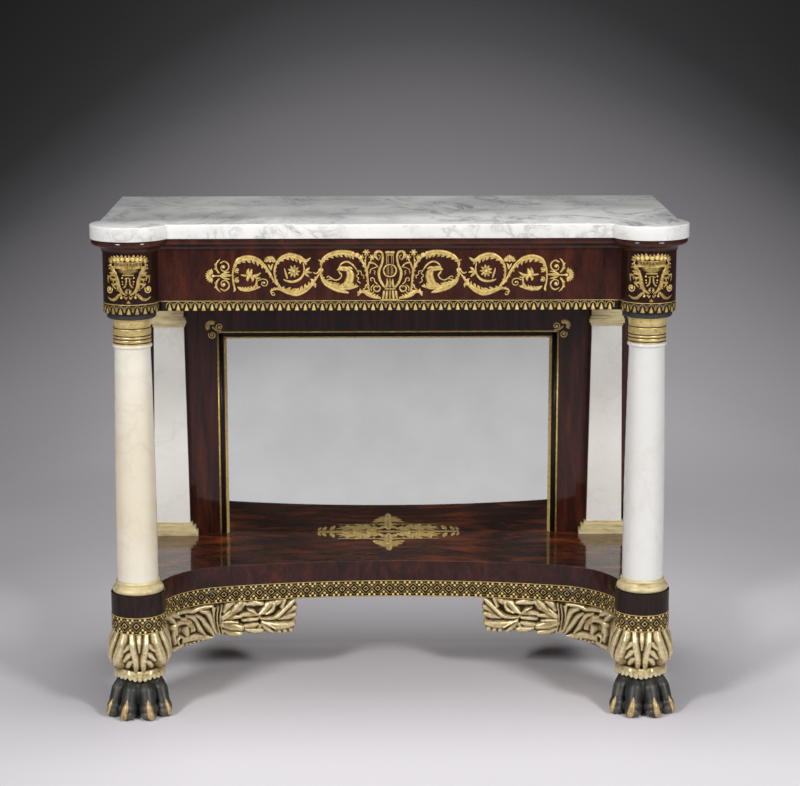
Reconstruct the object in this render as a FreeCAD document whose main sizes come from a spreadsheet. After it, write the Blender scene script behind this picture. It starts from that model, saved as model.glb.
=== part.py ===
import FreeCAD, Part
import math
import os
from types import SimpleNamespace

import Sketcher

# Pier table with a marble top, two marble columns and a mirror back.
# It faces -Y, +Z is up, and the origin is on the floor under its middle.
DIMENSIONS = {
    # Layout: the column axes, and the heights from the floor up.
    "turret_spacing": 934,
    "column_to_back": 430,
    "foot_height": 160,
    "base_height": 72,
    "column_base_height": 23,
    "column_height": 441,
    "capital_height": 48,
    "abacus_height": 11,
    "apron_height": 133,
    "marble_thickness": 26,
    # Fits: the play in tenons, pins and rebates, and how far a cut runs past its piece.
    "joint_gap": 0.2,
    "cut_overrun": 5,
    # Marble top: round ears over the columns, straight edges between them.
    "ear_radius": 72,
    "marble_front_lip": 26,
    "marble_side_lip": 58,
    # Apron: drums over the columns, rails housed in them, mouldings under the marble.
    "turret_radius": 50,
    "apron_front_reach": 4,
    "side_reach": 36,
    "veneer_thickness": 1.5,
    "front_rail_thickness": 24,
    "front_rail_inset": 20,
    "side_rail_thickness": 22,
    "side_rail_inset": 20,
    "tenon_length": 12,
    "tenon_thickness": 8,
    "tenon_shoulder": 15,
    "brace_width": 60,
    "glue_block": 34,
    "cornice_height": 22,
    "cornice_reach": 19.5,
    "cornice_fillet": 2,
    "cornice_cove": 8.5,
    "cornice_nose_start": 14.8,
    # Columns, from the abacus down to the base ring.
    "abacus_radius": 44.5,
    "abacus_bevel": 2.5,
    "capital_radius": 34,
    "capital_flare_radius": 35.5,
    "capital_flare_height": 6,
    "groove_width": 1.6,
    "groove_depth": 1.4,
    "column_top_radius": 32.8,
    "column_bottom_radius": 37.9,
    "column_entasis": 1.5,
    "astragal_height": 7,
    "astragal_radius": 36.4,
    "column_base_radius": 47.8,
    "column_base_bulge": 4,
    "column_base_torus_height": 13,
    "column_base_step": 3,
    "column_base_neck": 40,
    "pin_radius": 6,
    "pin_depth": 30,
    # Base: drums under the columns and the shelf with its swept front.
    "base_drum_radius": 50,
    "shelf_setback": 197,
    "sweep_start": 21,
    "end_curve_radius": 140,
    "corner_inset": 34,
    "shelf_board_thickness": 20,
    "shelf_rail_thickness": 28,
    "shelf_front_rail_inset": 16,
    "shelf_side_rail_thickness": 22,
    "shelf_side_rail_inset": 20,
    "shelf_back_rail_thickness": 22,
    "corner_block": 56,
    "bearer_width": 60,
    # Back frame: wide stiles and a top rail round the mirror.
    "back_thickness": 20,
    "stile_width": 176,
    "opening_height": 403.5,
    "mirror_lip": 8,
    "glass_thickness": 5,
    "glass_rebate": 8,
    "board_rebate": 24,
    "stile_tenon_width": 90,
    "fillet_width": 5,
    "fillet_proud": 1.5,
    "screw_radius": 2,
    "screw_length": 15,
    "screw_head_radius": 4,
    "screw_head_height": 2,
    # Pilasters on the back frame, behind the columns.
    "pilaster_inset": 31.5,
    "pilaster_top_width": 59.5,
    "pilaster_bottom_width": 70.3,
    "pilaster_thickness": 12,
    "pilaster_base_height": 26,
    "pilaster_base_side": 16,
    "pilaster_base_front": 7,
    "pilaster_capital_height": 97,
    "echinus_height": 19,
    "echinus_reach": 5,
    # Front legs: a leaf-carved knee on a paw foot.
    "paw_height": 72,
    "knee_radius": 65.5,
    "knee_widest_height": 46,
    "knee_top_radius": 47,
    "knee_neck_radius": 44,
    "knee_flute_width": 9,
    "knee_flute_depth": 5,
    "knee_pin_radius": 12,
    "knee_pin_length": 30,
    "ankle_radius": 41,
    "heel_radius": 50,
    "paw_pin_radius": 12,
    "paw_pin_length": 20,
    "toe_reach": 67,
    "toe_spread": 46,
    "middle_toe_spread": 15.5,
    "toe_radius": 17,
    "knuckle_radius": 16,
    "toe_length": 30,
    "toe_sole": 4,
    "outer_toe_setback": 20,
    "claw_radius": 6,
    "claw_length": 27,
    # Leaf brackets that run from the knees along the shelf front.
    "bracket_height": 70,
    "bracket_thickness": 34,
    "bracket_setback": 3,
    "bracket_spacing": 360,
    # Rear feet, turned.
    "rear_foot_radius": 30,
    "rear_foot_neck": 17,
    "rear_foot_pad": 21,
    "rear_foot_pin_radius": 12,
    "rear_foot_pin_length": 28,
}
LEFT_AND_RIGHT = (("left", -1), ("right", 1))

doc = FreeCAD.newDocument("pier_table")
sheet = doc.addObject("Spreadsheet::Sheet", "dims")
for row, (alias, number) in enumerate(DIMENSIONS.items(), start=1):
    sheet.set(f"A{row}", alias)
    sheet.set(f"B{row}", str(number))
    sheet.setAlias(f"B{row}", alias)
doc.recompute()


class Size:
    """A length or ratio with its value and the expression that ties it to the sheet."""

    def __init__(self, text, value):
        self.text = text
        self.value = value

    def __add__(self, other):
        other = as_size(other)
        return Size(f"({self.text} + {other.text})", self.value + other.value)

    def __sub__(self, other):
        other = as_size(other)
        return Size(f"({self.text} - {other.text})", self.value - other.value)

    def __mul__(self, other):
        other = as_size(other)
        return Size(f"({self.text} * {other.text})", self.value * other.value)

    def __truediv__(self, other):
        other = as_size(other)
        return Size(f"({self.text} / {other.text})", self.value / other.value)

    def __rmul__(self, other):
        return as_size(other) * self

    def __neg__(self):
        return Size(f"(-1 * {self.text})", -self.value)


def as_size(number):
    return number if isinstance(number, Size) else Size(f"({number!r})", number)


def root(size):
    return Size(f"sqrt({size.text})", math.sqrt(size.value))


def arc_radius(half_chord, bulge):
    """Radius of the arc that rises by bulge over a chord."""
    return (half_chord * half_chord + bulge * bulge) / (2 * bulge)


dim = SimpleNamespace(**{alias: Size(f"dims.{alias}", float(sheet.get(alias))) for alias in DIMENSIONS})
pieces = []


def bind(feature, prop, size):
    feature.setExpression(prop, as_size(size).text)


def place(feature, x, y, z):
    for name, size in zip("xyz", (x, y, z)):
        bind(feature, f"Placement.Base.{name}", size)


def name_piece(feature, label):
    feature.Label = label
    pieces.append(feature)
    return feature


def new_body(label):
    return doc.addObject("PartDesign::Body", f"{label}_body")


def draw(body, role, points):
    """Closed outline on an origin plane of the body. A point is (x, y) or (x, y, radius).

    The radius bends the edge that leaves the point: positive turns left, negative turns right.
    """
    sketch = body.newObject("Sketcher::SketchObject", "Outline")
    plane = [feature for feature in body.Origin.OriginFeatures if feature.Role == role][0]
    sketch.AttachmentSupport = [(plane, "")]
    sketch.MapMode = "FlatFace"
    corners = [tuple(as_size(value) for value in point) for point in points]
    starts = []
    for index, corner in enumerate(corners):
        after = corners[(index + 1) % len(corners)]
        first = FreeCAD.Vector(corner[0].value, corner[1].value, 0)
        last = FreeCAD.Vector(after[0].value, after[1].value, 0)
        if len(corner) == 2:
            sketch.addGeometry(Part.LineSegment(first, last), False)
            starts.append((1, 2))
            continue
        radius = corner[2].value
        turn = math.copysign(1, radius)
        chord = last - first
        rise = math.sqrt(max(radius * radius - chord.Length * chord.Length / 4, 0))
        side = FreeCAD.Vector(-chord.y, chord.x, 0).normalize() * rise * turn
        centre = (first + last) / 2 + side
        from_angle = math.atan2(first.y - centre.y, first.x - centre.x)
        to_angle = math.atan2(last.y - centre.y, last.x - centre.x)
        if turn < 0:
            from_angle, to_angle = to_angle, from_angle
        circle = Part.Circle(centre, FreeCAD.Vector(0, 0, 1), abs(radius))
        sketch.addGeometry(Part.ArcOfCircle(circle, from_angle, to_angle), False)
        starts.append((1, 2) if turn > 0 else (2, 1))
    for index, corner in enumerate(corners):
        after = (index + 1) % len(corners)
        join = Sketcher.Constraint("Coincident", index, starts[index][1], after, starts[after][0])
        sketch.addConstraint(join)
        for kind, size in zip(("DistanceX", "DistanceY"), corner):
            distance = Sketcher.Constraint(kind, -1, 1, index, starts[index][0], size.value)
            bind(sketch, f"Constraints[{sketch.addConstraint(distance)}]", size)
        if len(corner) > 2:
            size = corner[2] if corner[2].value > 0 else -corner[2]
            bend = Sketcher.Constraint("Radius", index, size.value)
            bind(sketch, f"Constraints[{sketch.addConstraint(bend)}]", size)
    return sketch


def pad(body, sketch, length, midplane=False):
    feature = body.newObject("PartDesign::Pad", "Pad")
    feature.Profile = sketch
    feature.Midplane = midplane
    bind(feature, "Length", length)
    return feature


def turn(body, profile):
    """Solid turned about Z from (radius, height) points."""
    feature = body.newObject("PartDesign::Revolution", "Turning")
    feature.Profile = draw(body, "XZ_Plane", profile)
    feature.ReferenceAxis = (feature.Profile[0], ["V_Axis"])
    feature.Angle = 360
    return feature


def fill_spans(feature, spans):
    for prop, name, span in zip(("Length", "Width", "Height"), "xyz", spans):
        low, high = sorted((as_size(value) for value in span), key=lambda size: size.value)
        bind(feature, prop, high - low)
        bind(feature, f"Placement.Base.{name}", low)
    return feature


def block(body, kind, x_span, y_span, z_span):
    """Box added to or cut from a body, between two values on each axis."""
    return fill_spans(body.newObject(f"PartDesign::{kind}Box", "Block"), (x_span, y_span, z_span))


def box_piece(x_span, y_span, z_span):
    """Plain block between two values on each axis."""
    return fill_spans(doc.addObject("Part::Box", "plain_block"), (x_span, y_span, z_span))


def rod(body, kind, x, y, z, radius, height, towards=None):
    """Cylinder added to or cut from a body, along Z unless another direction is given."""
    feature = body.newObject(f"PartDesign::{kind}Cylinder", "Rod")
    if towards:
        feature.Placement = FreeCAD.Placement(FreeCAD.Vector(), FreeCAD.Rotation(*towards))
    bind(feature, "Radius", radius)
    bind(feature, "Height", height)
    place(feature, x, y, z)
    return feature


def egg(body, kind, x, y, z, across, deep, tall):
    """Ellipsoid added to or cut from a body, with a half size on each axis."""
    feature = body.newObject(f"PartDesign::{kind}Ellipsoid", "Egg")
    bind(feature, "Radius1", tall)
    bind(feature, "Radius2", across)
    bind(feature, "Radius3", deep)
    place(feature, x, y, z)
    return feature


def group(label, solids):
    feature = doc.addObject("Part::Compound", f"{label}_group")
    feature.Links = solids
    return name_piece(feature, label)


# Reference planes and heights that the pieces share.
gap = dim.joint_gap
over = dim.cut_overrun
half = dim.turret_spacing / 2
axis_y = (dim.ear_radius - dim.column_to_back) / 2
back_y = (dim.ear_radius + dim.column_to_back) / 2
frame_y = back_y - dim.back_thickness
side_x = half + dim.side_reach
base_z = dim.foot_height
shelf_z = base_z + dim.base_height
board_z = shelf_z - dim.veneer_thickness
shaft_z = shelf_z + dim.column_base_height
capital_z = shaft_z + dim.column_height
abacus_z = capital_z + dim.capital_height
apron_z = abacus_z + dim.abacus_height
top_z = apron_z + dim.apron_height
opening_half = side_x - dim.stile_width
opening_top = dim.opening_height + dim.veneer_thickness
pin_bore = dim.pin_radius + gap
bore_depth = dim.pin_depth + gap


# Marble top: one loose slab with a round ear over each column.
ear_side_y = axis_y + root(dim.ear_radius * dim.ear_radius - dim.marble_side_lip * dim.marble_side_lip)
ear_front_x = half - root(dim.ear_radius * dim.ear_radius - dim.marble_front_lip * dim.marble_front_lip)
marble_side_x = half + dim.marble_side_lip
marble_front_y = axis_y - dim.marble_front_lip
ear_tip_y = axis_y - dim.ear_radius
marble = new_body("marble_top")
pad(marble, draw(marble, "XY_Plane", [
    (-marble_side_x, back_y),
    (-marble_side_x, ear_side_y, dim.ear_radius),
    (-half, ear_tip_y, dim.ear_radius),
    (-ear_front_x, marble_front_y),
    (ear_front_x, marble_front_y, dim.ear_radius),
    (half, ear_tip_y, dim.ear_radius),
    (marble_side_x, ear_side_y),
    (marble_side_x, back_y),
]), dim.marble_thickness)
place(marble, 0, 0, top_z)
name_piece(marble, "marble_top")


# Turret drums over the columns, housed for the front and side rails of the apron.
front_rail_depth = dim.veneer_thickness + dim.front_rail_thickness
for hand, sign in LEFT_AND_RIGHT:
    drum = new_body(f"turret_drum_{hand}")
    rod(drum, "Additive", 0, 0, 0, dim.turret_radius, dim.apron_height)
    block(drum, "Subtractive",
          (-sign * (dim.turret_radius + over), -sign * (dim.front_rail_inset - gap)),
          (-dim.apron_front_reach - gap, front_rail_depth - dim.apron_front_reach + gap),
          (-over, dim.apron_height + over))
    block(drum, "Subtractive",
          (sign * (dim.side_reach - dim.side_rail_thickness - gap), sign * (dim.side_reach + gap)),
          (dim.side_rail_inset - gap, dim.turret_radius + over),
          (-over, dim.apron_height + over))
    rod(drum, "Subtractive", 0, 0, 0, pin_bore, bore_depth)
    place(drum, sign * half, axis_y, apron_z)
    name_piece(drum, f"turret_drum_{hand}")


# Apron rails: a veneered front rail between the drums, plain side and back rails, one cross brace.
def tenon_span(height):
    return (dim.tenon_shoulder, height - dim.tenon_shoulder)


def mortise_span(height):
    return (dim.tenon_shoulder - gap, height - dim.tenon_shoulder + gap)


front_rail_end = half - dim.front_rail_inset
brace_half = dim.brace_width / 2
brace_tenon = brace_half - dim.tenon_shoulder
front_rail = new_body("apron_front_rail")
block(front_rail, "Additive",
      (-front_rail_end, front_rail_end), (0, dim.front_rail_thickness), (0, dim.apron_height))
block(front_rail, "Subtractive",
      (-brace_tenon - gap, brace_tenon + gap),
      (dim.front_rail_thickness - dim.tenon_length - gap, dim.front_rail_thickness + over),
      mortise_span(dim.apron_height))
place(front_rail, 0, axis_y - dim.apron_front_reach + dim.veneer_thickness, apron_z)
name_piece(front_rail, "apron_front_rail")

front_veneer = new_body("apron_front_veneer")
block(front_veneer, "Additive",
      (-front_rail_end, front_rail_end), (0, dim.veneer_thickness), (0, dim.apron_height))
place(front_veneer, 0, axis_y - dim.apron_front_reach, apron_z)
name_piece(front_veneer, "apron_front_veneer")

side_rail_x = side_x - dim.side_rail_thickness / 2
side_rail_length = frame_y - axis_y - dim.side_rail_inset
thin = dim.tenon_thickness / 2
for hand, sign in LEFT_AND_RIGHT:
    rail = new_body(f"apron_side_rail_{hand}")
    thick = dim.side_rail_thickness / 2
    block(rail, "Additive", (-thick, thick), (0, side_rail_length), (0, dim.apron_height))
    block(rail, "Additive", (-thin, thin), (side_rail_length, side_rail_length + dim.tenon_length),
          tenon_span(dim.apron_height))
    place(rail, sign * side_rail_x, axis_y + dim.side_rail_inset, apron_z)
    name_piece(rail, f"apron_side_rail_{hand}")

edge_tenon_y = (dim.back_thickness - dim.tenon_thickness) / 2
back_rail = new_body("apron_back_rail")
block(back_rail, "Additive",
      (-opening_half, opening_half), (0, dim.back_thickness), (0, dim.apron_height))
block(back_rail, "Additive",
      (-opening_half - dim.tenon_length, opening_half + dim.tenon_length),
      (edge_tenon_y, edge_tenon_y + dim.tenon_thickness),
      tenon_span(dim.apron_height))
block(back_rail, "Subtractive",
      (-brace_tenon - gap, brace_tenon + gap),
      (-over, dim.tenon_length + gap),
      mortise_span(dim.apron_height))
place(back_rail, 0, frame_y, apron_z)
name_piece(back_rail, "apron_back_rail")

brace_y = axis_y - dim.apron_front_reach + front_rail_depth
brace_length = frame_y - brace_y
brace = new_body("apron_cross_brace")
block(brace, "Additive", (-brace_half, brace_half), (0, brace_length), (0, dim.apron_height))
block(brace, "Additive",
      (-brace_tenon, brace_tenon),
      (-dim.tenon_length, brace_length + dim.tenon_length),
      tenon_span(dim.apron_height))
place(brace, 0, brace_y, apron_z)
name_piece(brace, "apron_cross_brace")

glue_blocks = []
glue_corner_x = side_x - dim.side_rail_thickness
glue_spans = ((glue_corner_x - dim.glue_block, glue_corner_x), (brace_half, brace_half + dim.glue_block))
for sign in (-1, 1):
    for near_x, far_x in glue_spans:
        glue_blocks.append(box_piece(
            (sign * near_x, sign * far_x),
            (frame_y - dim.glue_block, frame_y),
            (apron_z + dim.tenon_shoulder, top_z - dim.tenon_shoulder)))
group("apron_glue_blocks", glue_blocks)


# Cornice under the marble: cove and nose, bent round the drums and straight between them.
def cornice_profile(outward, bend, grow=0):
    """Face of the moulding as points up from its lower edge, grown a little for a cutter."""
    nose_low = dim.cornice_fillet + dim.cornice_cove - grow
    nose_high = dim.cornice_height + grow
    hollow = dim.cornice_nose_start - dim.cornice_fillet
    swell = arc_radius((nose_high - nose_low) / 2, dim.cornice_reach - dim.cornice_nose_start)
    return [
        (outward(dim.cornice_fillet + grow), dim.cornice_fillet, -bend * hollow),
        (outward(dim.cornice_nose_start + grow), nose_low, bend * swell),
        (outward(dim.cornice_nose_start + grow), nose_high),
    ]


def cornice_section(inner, outward, bend):
    face = cornice_profile(outward, bend)
    return [(inner, 0), (face[0][0], 0)] + face + [(inner, dim.cornice_height)]


def cut_piece(base, tool):
    feature = doc.addObject("Part::Cut", "fitted")
    feature.Base = base
    feature.Tool = tool
    return feature


cornice_z = top_z - dim.cornice_height
ring_cutters = []
for hand, sign in LEFT_AND_RIGHT:
    ring = new_body(f"cornice_turret_{hand}")
    turn(ring, cornice_section(dim.turret_radius + gap, lambda reach: dim.turret_radius + reach, 1))
    ring_reach = dim.turret_radius + dim.cornice_reach + over
    block(ring, "Subtractive",
          (-sign * ring_reach, sign * dim.side_reach),
          (-dim.apron_front_reach, ring_reach),
          (-over, dim.cornice_height + over))
    place(ring, sign * half, axis_y, cornice_z)
    name_piece(ring, f"cornice_turret_{hand}")
    cutter = new_body(f"cornice_cutter_{hand}")
    face = cornice_profile(lambda reach: dim.turret_radius + reach, 1, gap)
    turn(cutter, [(0, -over), (face[0][0], -over)] + face + [(0, dim.cornice_height + over)])
    place(cutter, sign * half, axis_y, cornice_z)
    ring_cutters.append(cutter)

front_strip = new_body("cornice_front")
front_section = draw(front_strip, "YZ_Plane", cornice_section(0, lambda reach: -reach, -1))
pad(front_strip, front_section, 2 * (half - dim.turret_radius), midplane=True)
place(front_strip, 0, axis_y - dim.apron_front_reach, cornice_z)
name_piece(cut_piece(cut_piece(front_strip, ring_cutters[0]), ring_cutters[1]), "cornice_front")

strip_start = axis_y + root(dim.turret_radius * dim.turret_radius - dim.side_reach * dim.side_reach)
for cutter, (hand, sign) in zip(ring_cutters, LEFT_AND_RIGHT):
    strip = new_body(f"cornice_side_{hand}")
    side_section = draw(strip, "XZ_Plane", cornice_section(0, lambda reach: sign * reach, sign))
    pad(strip, side_section, back_y - strip_start, midplane=True)
    place(strip, sign * side_x, (back_y + strip_start) / 2, cornice_z)
    name_piece(cut_piece(strip, cutter), f"cornice_side_{hand}")


# Columns: black abacus, gilt capital, marble shaft and gilt base ring, held by iron pins.
CAPITAL_GROOVE_SHARES = (0.05, 0.17, 0.31, 0.65)
shaft_height = dim.column_height - dim.astragal_height
pins = []
for hand, sign in LEFT_AND_RIGHT:
    abacus = new_body(f"abacus_{hand}")
    turn(abacus, [
        (pin_bore, 0),
        (dim.abacus_radius - dim.abacus_bevel, 0),
        (dim.abacus_radius, dim.abacus_bevel),
        (dim.abacus_radius, dim.abacus_height),
        (pin_bore, dim.abacus_height),
    ])
    place(abacus, sign * half, axis_y, abacus_z)
    name_piece(abacus, f"abacus_{hand}")

    capital = new_body(f"capital_{hand}")
    neck = [(pin_bore, 0), (dim.capital_radius, 0)]
    for share in CAPITAL_GROOVE_SHARES:
        level = share * dim.capital_height
        neck.append((dim.capital_radius, level - dim.groove_width / 2))
        neck.append((dim.capital_radius - dim.groove_depth, level))
        neck.append((dim.capital_radius, level + dim.groove_width / 2))
    neck.append((dim.capital_radius, dim.capital_height - dim.capital_flare_height))
    neck.append((dim.capital_flare_radius, dim.capital_height))
    neck.append((pin_bore, dim.capital_height))
    turn(capital, neck)
    place(capital, sign * half, axis_y, capital_z)
    name_piece(capital, f"capital_{hand}")

    column = new_body(f"column_{hand}")
    turn(column, [
        (0, 0),
        (dim.column_bottom_radius, 0, arc_radius(shaft_height / 2, dim.column_entasis)),
        (dim.column_top_radius, shaft_height,
         arc_radius(dim.astragal_height / 2, dim.astragal_radius - dim.column_top_radius)),
        (dim.column_top_radius, dim.column_height),
        (0, dim.column_height),
    ])
    for bore_z in (as_size(0), dim.column_height - bore_depth):
        rod(column, "Subtractive", 0, 0, bore_z, pin_bore, bore_depth)
    place(column, sign * half, axis_y, shaft_z)
    name_piece(column, f"column_{hand}")

    ring = new_body(f"column_base_{hand}")
    torus_edge = dim.column_base_radius - dim.column_base_bulge
    turn(ring, [
        (pin_bore, 0),
        (torus_edge, 0, arc_radius(dim.column_base_torus_height / 2, dim.column_base_bulge)),
        (torus_edge, dim.column_base_torus_height),
        (dim.column_base_neck, dim.column_base_torus_height + dim.column_base_step),
        (dim.column_base_neck, dim.column_base_height),
        (pin_bore, dim.column_base_height),
    ])
    place(ring, sign * half, axis_y, shelf_z)
    name_piece(ring, f"column_base_{hand}")

    for low_z, length in ((shelf_z - dim.pin_depth, dim.column_base_height + 2 * dim.pin_depth),
                          (capital_z - dim.pin_depth, apron_z - capital_z + 2 * dim.pin_depth)):
        pin = doc.addObject("Part::Cylinder", "iron_pin")
        bind(pin, "Radius", dim.pin_radius)
        bind(pin, "Height", length)
        place(pin, sign * half, axis_y, low_z)
        pins.append(pin)
group("column_pins", pins)


# Shelf front: a wide sweep that turns into each drum on a tight curve.
end_centre_x = half - dim.corner_inset - dim.end_curve_radius
sweep_depth = dim.shelf_setback - dim.sweep_start
sweep_radius = (
    (end_centre_x * end_centre_x + sweep_depth * sweep_depth - dim.end_curve_radius * dim.end_curve_radius)
    / (2 * (sweep_depth - dim.end_curve_radius)))
curve_step = sweep_radius - dim.end_curve_radius
sweep_centre_y = axis_y + dim.shelf_setback - sweep_radius
end_centre_y = axis_y + dim.sweep_start
sweep_rise = end_centre_y - sweep_centre_y
sweep_end_y = axis_y + dim.shelf_front_rail_inset


def sweep_points(offset, rightward, end_y=sweep_end_y):
    """Points of the swept front, moved back into the wood by offset, from one drum to the other."""
    way = 1 if rightward else -1
    outer_x = end_centre_x + dim.end_curve_radius + offset
    along = (sweep_radius + offset) / curve_step
    join_x = end_centre_x * along
    join_y = sweep_centre_y + sweep_rise * along
    near = -way * (dim.end_curve_radius + offset)
    far = -way * (sweep_radius + offset)
    return [
        (-way * outer_x, end_y),
        (-way * outer_x, end_centre_y, near),
        (-way * join_x, join_y, far),
        (way * join_x, join_y, near),
        (way * outer_x, end_centre_y),
        (way * outer_x, end_y),
    ]


# Base drums under the columns, housed for the shelf rails and bored for the knees.
rail_height = dim.base_height - dim.veneer_thickness - dim.shelf_board_thickness
rail_back = dim.veneer_thickness + dim.shelf_rail_thickness
rail_cutter = new_body("shelf_rail_cutter")
housing_outline = sweep_points(dim.veneer_thickness - gap, True, sweep_end_y - gap)
housing_outline += sweep_points(rail_back + gap, False, sweep_end_y - gap)
pad(rail_cutter, draw(rail_cutter, "XY_Plane", housing_outline), rail_height + gap + over)
place(rail_cutter, 0, 0, base_z - over)
for hand, sign in LEFT_AND_RIGHT:
    drum = new_body(f"base_drum_{hand}")
    rod(drum, "Additive", 0, 0, 0, dim.base_drum_radius, dim.base_height)
    block(drum, "Subtractive",
          (sign * (dim.side_reach - dim.shelf_side_rail_thickness - gap), sign * (dim.side_reach + gap)),
          (dim.shelf_side_rail_inset - gap, dim.base_drum_radius + over),
          (-over, rail_height + gap))
    rod(drum, "Subtractive", 0, 0, dim.base_height - bore_depth, pin_bore, bore_depth + over)
    rod(drum, "Subtractive", 0, 0, -over, dim.knee_pin_radius + gap, dim.knee_pin_length + gap + over)
    place(drum, sign * half, axis_y, base_z)
    name_piece(cut_piece(drum, rail_cutter), f"base_drum_{hand}")


# Shelf: a pine board on rails, veneered on top and along the swept front.
def clear_drums(body, height):
    for sign in (-1, 1):
        rod(body, "Subtractive",
            sign * half, axis_y, -over, dim.base_drum_radius + gap, height + 2 * over)


stile_middle = (opening_half + side_x) / 2
stile_tenon_half = dim.stile_tenon_width / 2
board = new_body("shelf_board")
board_outline = sweep_points(dim.veneer_thickness, True)
board_outline += [(side_x, sweep_end_y), (side_x, back_y), (-side_x, back_y), (-side_x, sweep_end_y)]
pad(board, draw(board, "XY_Plane", board_outline), dim.shelf_board_thickness)
clear_drums(board, dim.shelf_board_thickness)
for sign in (-1, 1):
    middle = sign * stile_middle
    block(board, "Subtractive",
          (middle - stile_tenon_half - gap, middle + stile_tenon_half + gap),
          (frame_y + edge_tenon_y - gap, frame_y + edge_tenon_y + dim.tenon_thickness + gap),
          (dim.shelf_board_thickness - dim.tenon_length - gap, dim.shelf_board_thickness + over))
place(board, 0, 0, board_z - dim.shelf_board_thickness)
name_piece(board, "shelf_board")

top_veneer = new_body("shelf_veneer")
lip_y = frame_y + dim.mirror_lip
veneer_outline = sweep_points(as_size(0), True)
veneer_outline += [(side_x, sweep_end_y), (side_x, frame_y)]
veneer_outline += [(opening_half, frame_y), (opening_half, lip_y)]
veneer_outline += [(-opening_half, lip_y), (-opening_half, frame_y)]
veneer_outline += [(-side_x, frame_y), (-side_x, sweep_end_y)]
pad(top_veneer, draw(top_veneer, "XY_Plane", veneer_outline), dim.veneer_thickness)
clear_drums(top_veneer, dim.veneer_thickness)
place(top_veneer, 0, 0, board_z)
name_piece(top_veneer, "shelf_veneer")

bearer_half = dim.bearer_width / 2
bearer_tenon = bearer_half - dim.tenon_shoulder
bearer_y = axis_y + dim.shelf_setback + rail_back
shelf_back_y = back_y - dim.shelf_back_rail_thickness
curved_rail = new_body("shelf_front_rail")
rail_outline = sweep_points(dim.veneer_thickness, True)
rail_outline += sweep_points(rail_back, False)
pad(curved_rail, draw(curved_rail, "XY_Plane", rail_outline), rail_height)
block(curved_rail, "Subtractive", (-bearer_tenon - gap, bearer_tenon + gap),
      (bearer_y - dim.tenon_length - gap, bearer_y + over), mortise_span(rail_height))
place(curved_rail, 0, 0, base_z)
name_piece(curved_rail, "shelf_front_rail")

curved_veneer = new_body("shelf_front_veneer")
skin_outline = sweep_points(as_size(0), True) + sweep_points(dim.veneer_thickness, False)
pad(curved_veneer, draw(curved_veneer, "XY_Plane", skin_outline), rail_height + dim.shelf_board_thickness)
clear_drums(curved_veneer, dim.base_height)
place(curved_veneer, 0, 0, base_z)
name_piece(curved_veneer, "shelf_front_veneer")

shelf_side_x = side_x - dim.shelf_side_rail_thickness / 2
shelf_side_y = axis_y + dim.shelf_side_rail_inset
shelf_side_length = shelf_back_y - shelf_side_y
for hand, sign in LEFT_AND_RIGHT:
    rail = new_body(f"shelf_side_rail_{hand}")
    thick = dim.shelf_side_rail_thickness / 2
    block(rail, "Additive", (-thick, thick), (0, shelf_side_length), (0, rail_height))
    block(rail, "Additive", (-thin, thin), (shelf_side_length, shelf_side_length + dim.tenon_length),
          tenon_span(rail_height))
    place(rail, sign * shelf_side_x, shelf_side_y, base_z)
    name_piece(rail, f"shelf_side_rail_{hand}")

shelf_back = new_body("shelf_back_rail")
block(shelf_back, "Additive", (-side_x, side_x), (0, dim.shelf_back_rail_thickness), (0, rail_height))
for low_x, high_x in ((-bearer_tenon, bearer_tenon), (shelf_side_x - thin, shelf_side_x + thin),
                      (-shelf_side_x - thin, -shelf_side_x + thin)):
    block(shelf_back, "Subtractive", (low_x - gap, high_x + gap), (-over, dim.tenon_length + gap),
          mortise_span(rail_height))
place(shelf_back, 0, shelf_back_y, base_z)
name_piece(shelf_back, "shelf_back_rail")

bearer = new_body("shelf_bearer")
bearer_length = shelf_back_y - bearer_y
block(bearer, "Additive", (-bearer_half, bearer_half), (0, bearer_length), (0, rail_height))
block(bearer, "Additive",
      (-bearer_tenon, bearer_tenon),
      (-dim.tenon_length, bearer_length + dim.tenon_length),
      tenon_span(rail_height))
place(bearer, 0, bearer_y, base_z)
name_piece(bearer, "shelf_bearer")

block_half = dim.corner_block / 2
rear_foot_x = side_x - dim.shelf_side_rail_thickness - block_half
rear_foot_y = shelf_back_y - block_half
corner_blocks = []
for hand, sign in LEFT_AND_RIGHT:
    corner = new_body(f"corner_block_{hand}")
    block(corner, "Additive", (-block_half, block_half), (-block_half, block_half), (0, rail_height))
    rod(corner, "Subtractive",
        0, 0, -over, dim.rear_foot_pin_radius + gap, dim.rear_foot_pin_length + gap + over)
    place(corner, sign * rear_foot_x, rear_foot_y, base_z)
    corner_blocks.append(corner)
group("shelf_corner_blocks", corner_blocks)


# Back frame: rebated stiles and top rail, the mirror, its gilt fillets and its backboard.
INTO_BACK = (FreeCAD.Vector(1, 0, 0), 90)
SCREW_SIDE_SHARES = (0.12, 0.5, 0.88)
SCREW_TOP_SHARES = (-0.6, 0, 0.6)
board_thickness = dim.back_thickness - dim.mirror_lip - dim.glass_thickness
stile_height = top_z - board_z
stile_apron = apron_z - board_z
rail_tenon_low = opening_top + dim.board_rebate + dim.tenon_shoulder
rail_tenon_high = stile_apron - dim.tenon_shoulder
edge_tenon = (edge_tenon_y, edge_tenon_y + dim.tenon_thickness)
edge_mortise = (edge_tenon_y - gap, edge_tenon_y + dim.tenon_thickness + gap)
screw_margin = (dim.glass_rebate + dim.board_rebate) / 2
screw_x = opening_half + screw_margin
side_screws = [share * opening_top for share in SCREW_SIDE_SHARES]
top_screws = [share * opening_half for share in SCREW_TOP_SHARES]
screw_places = [(sign * screw_x, height) for sign in (-1, 1) for height in side_screws]
screw_places += [(x, opening_top + screw_margin) for x in top_screws]


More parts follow.
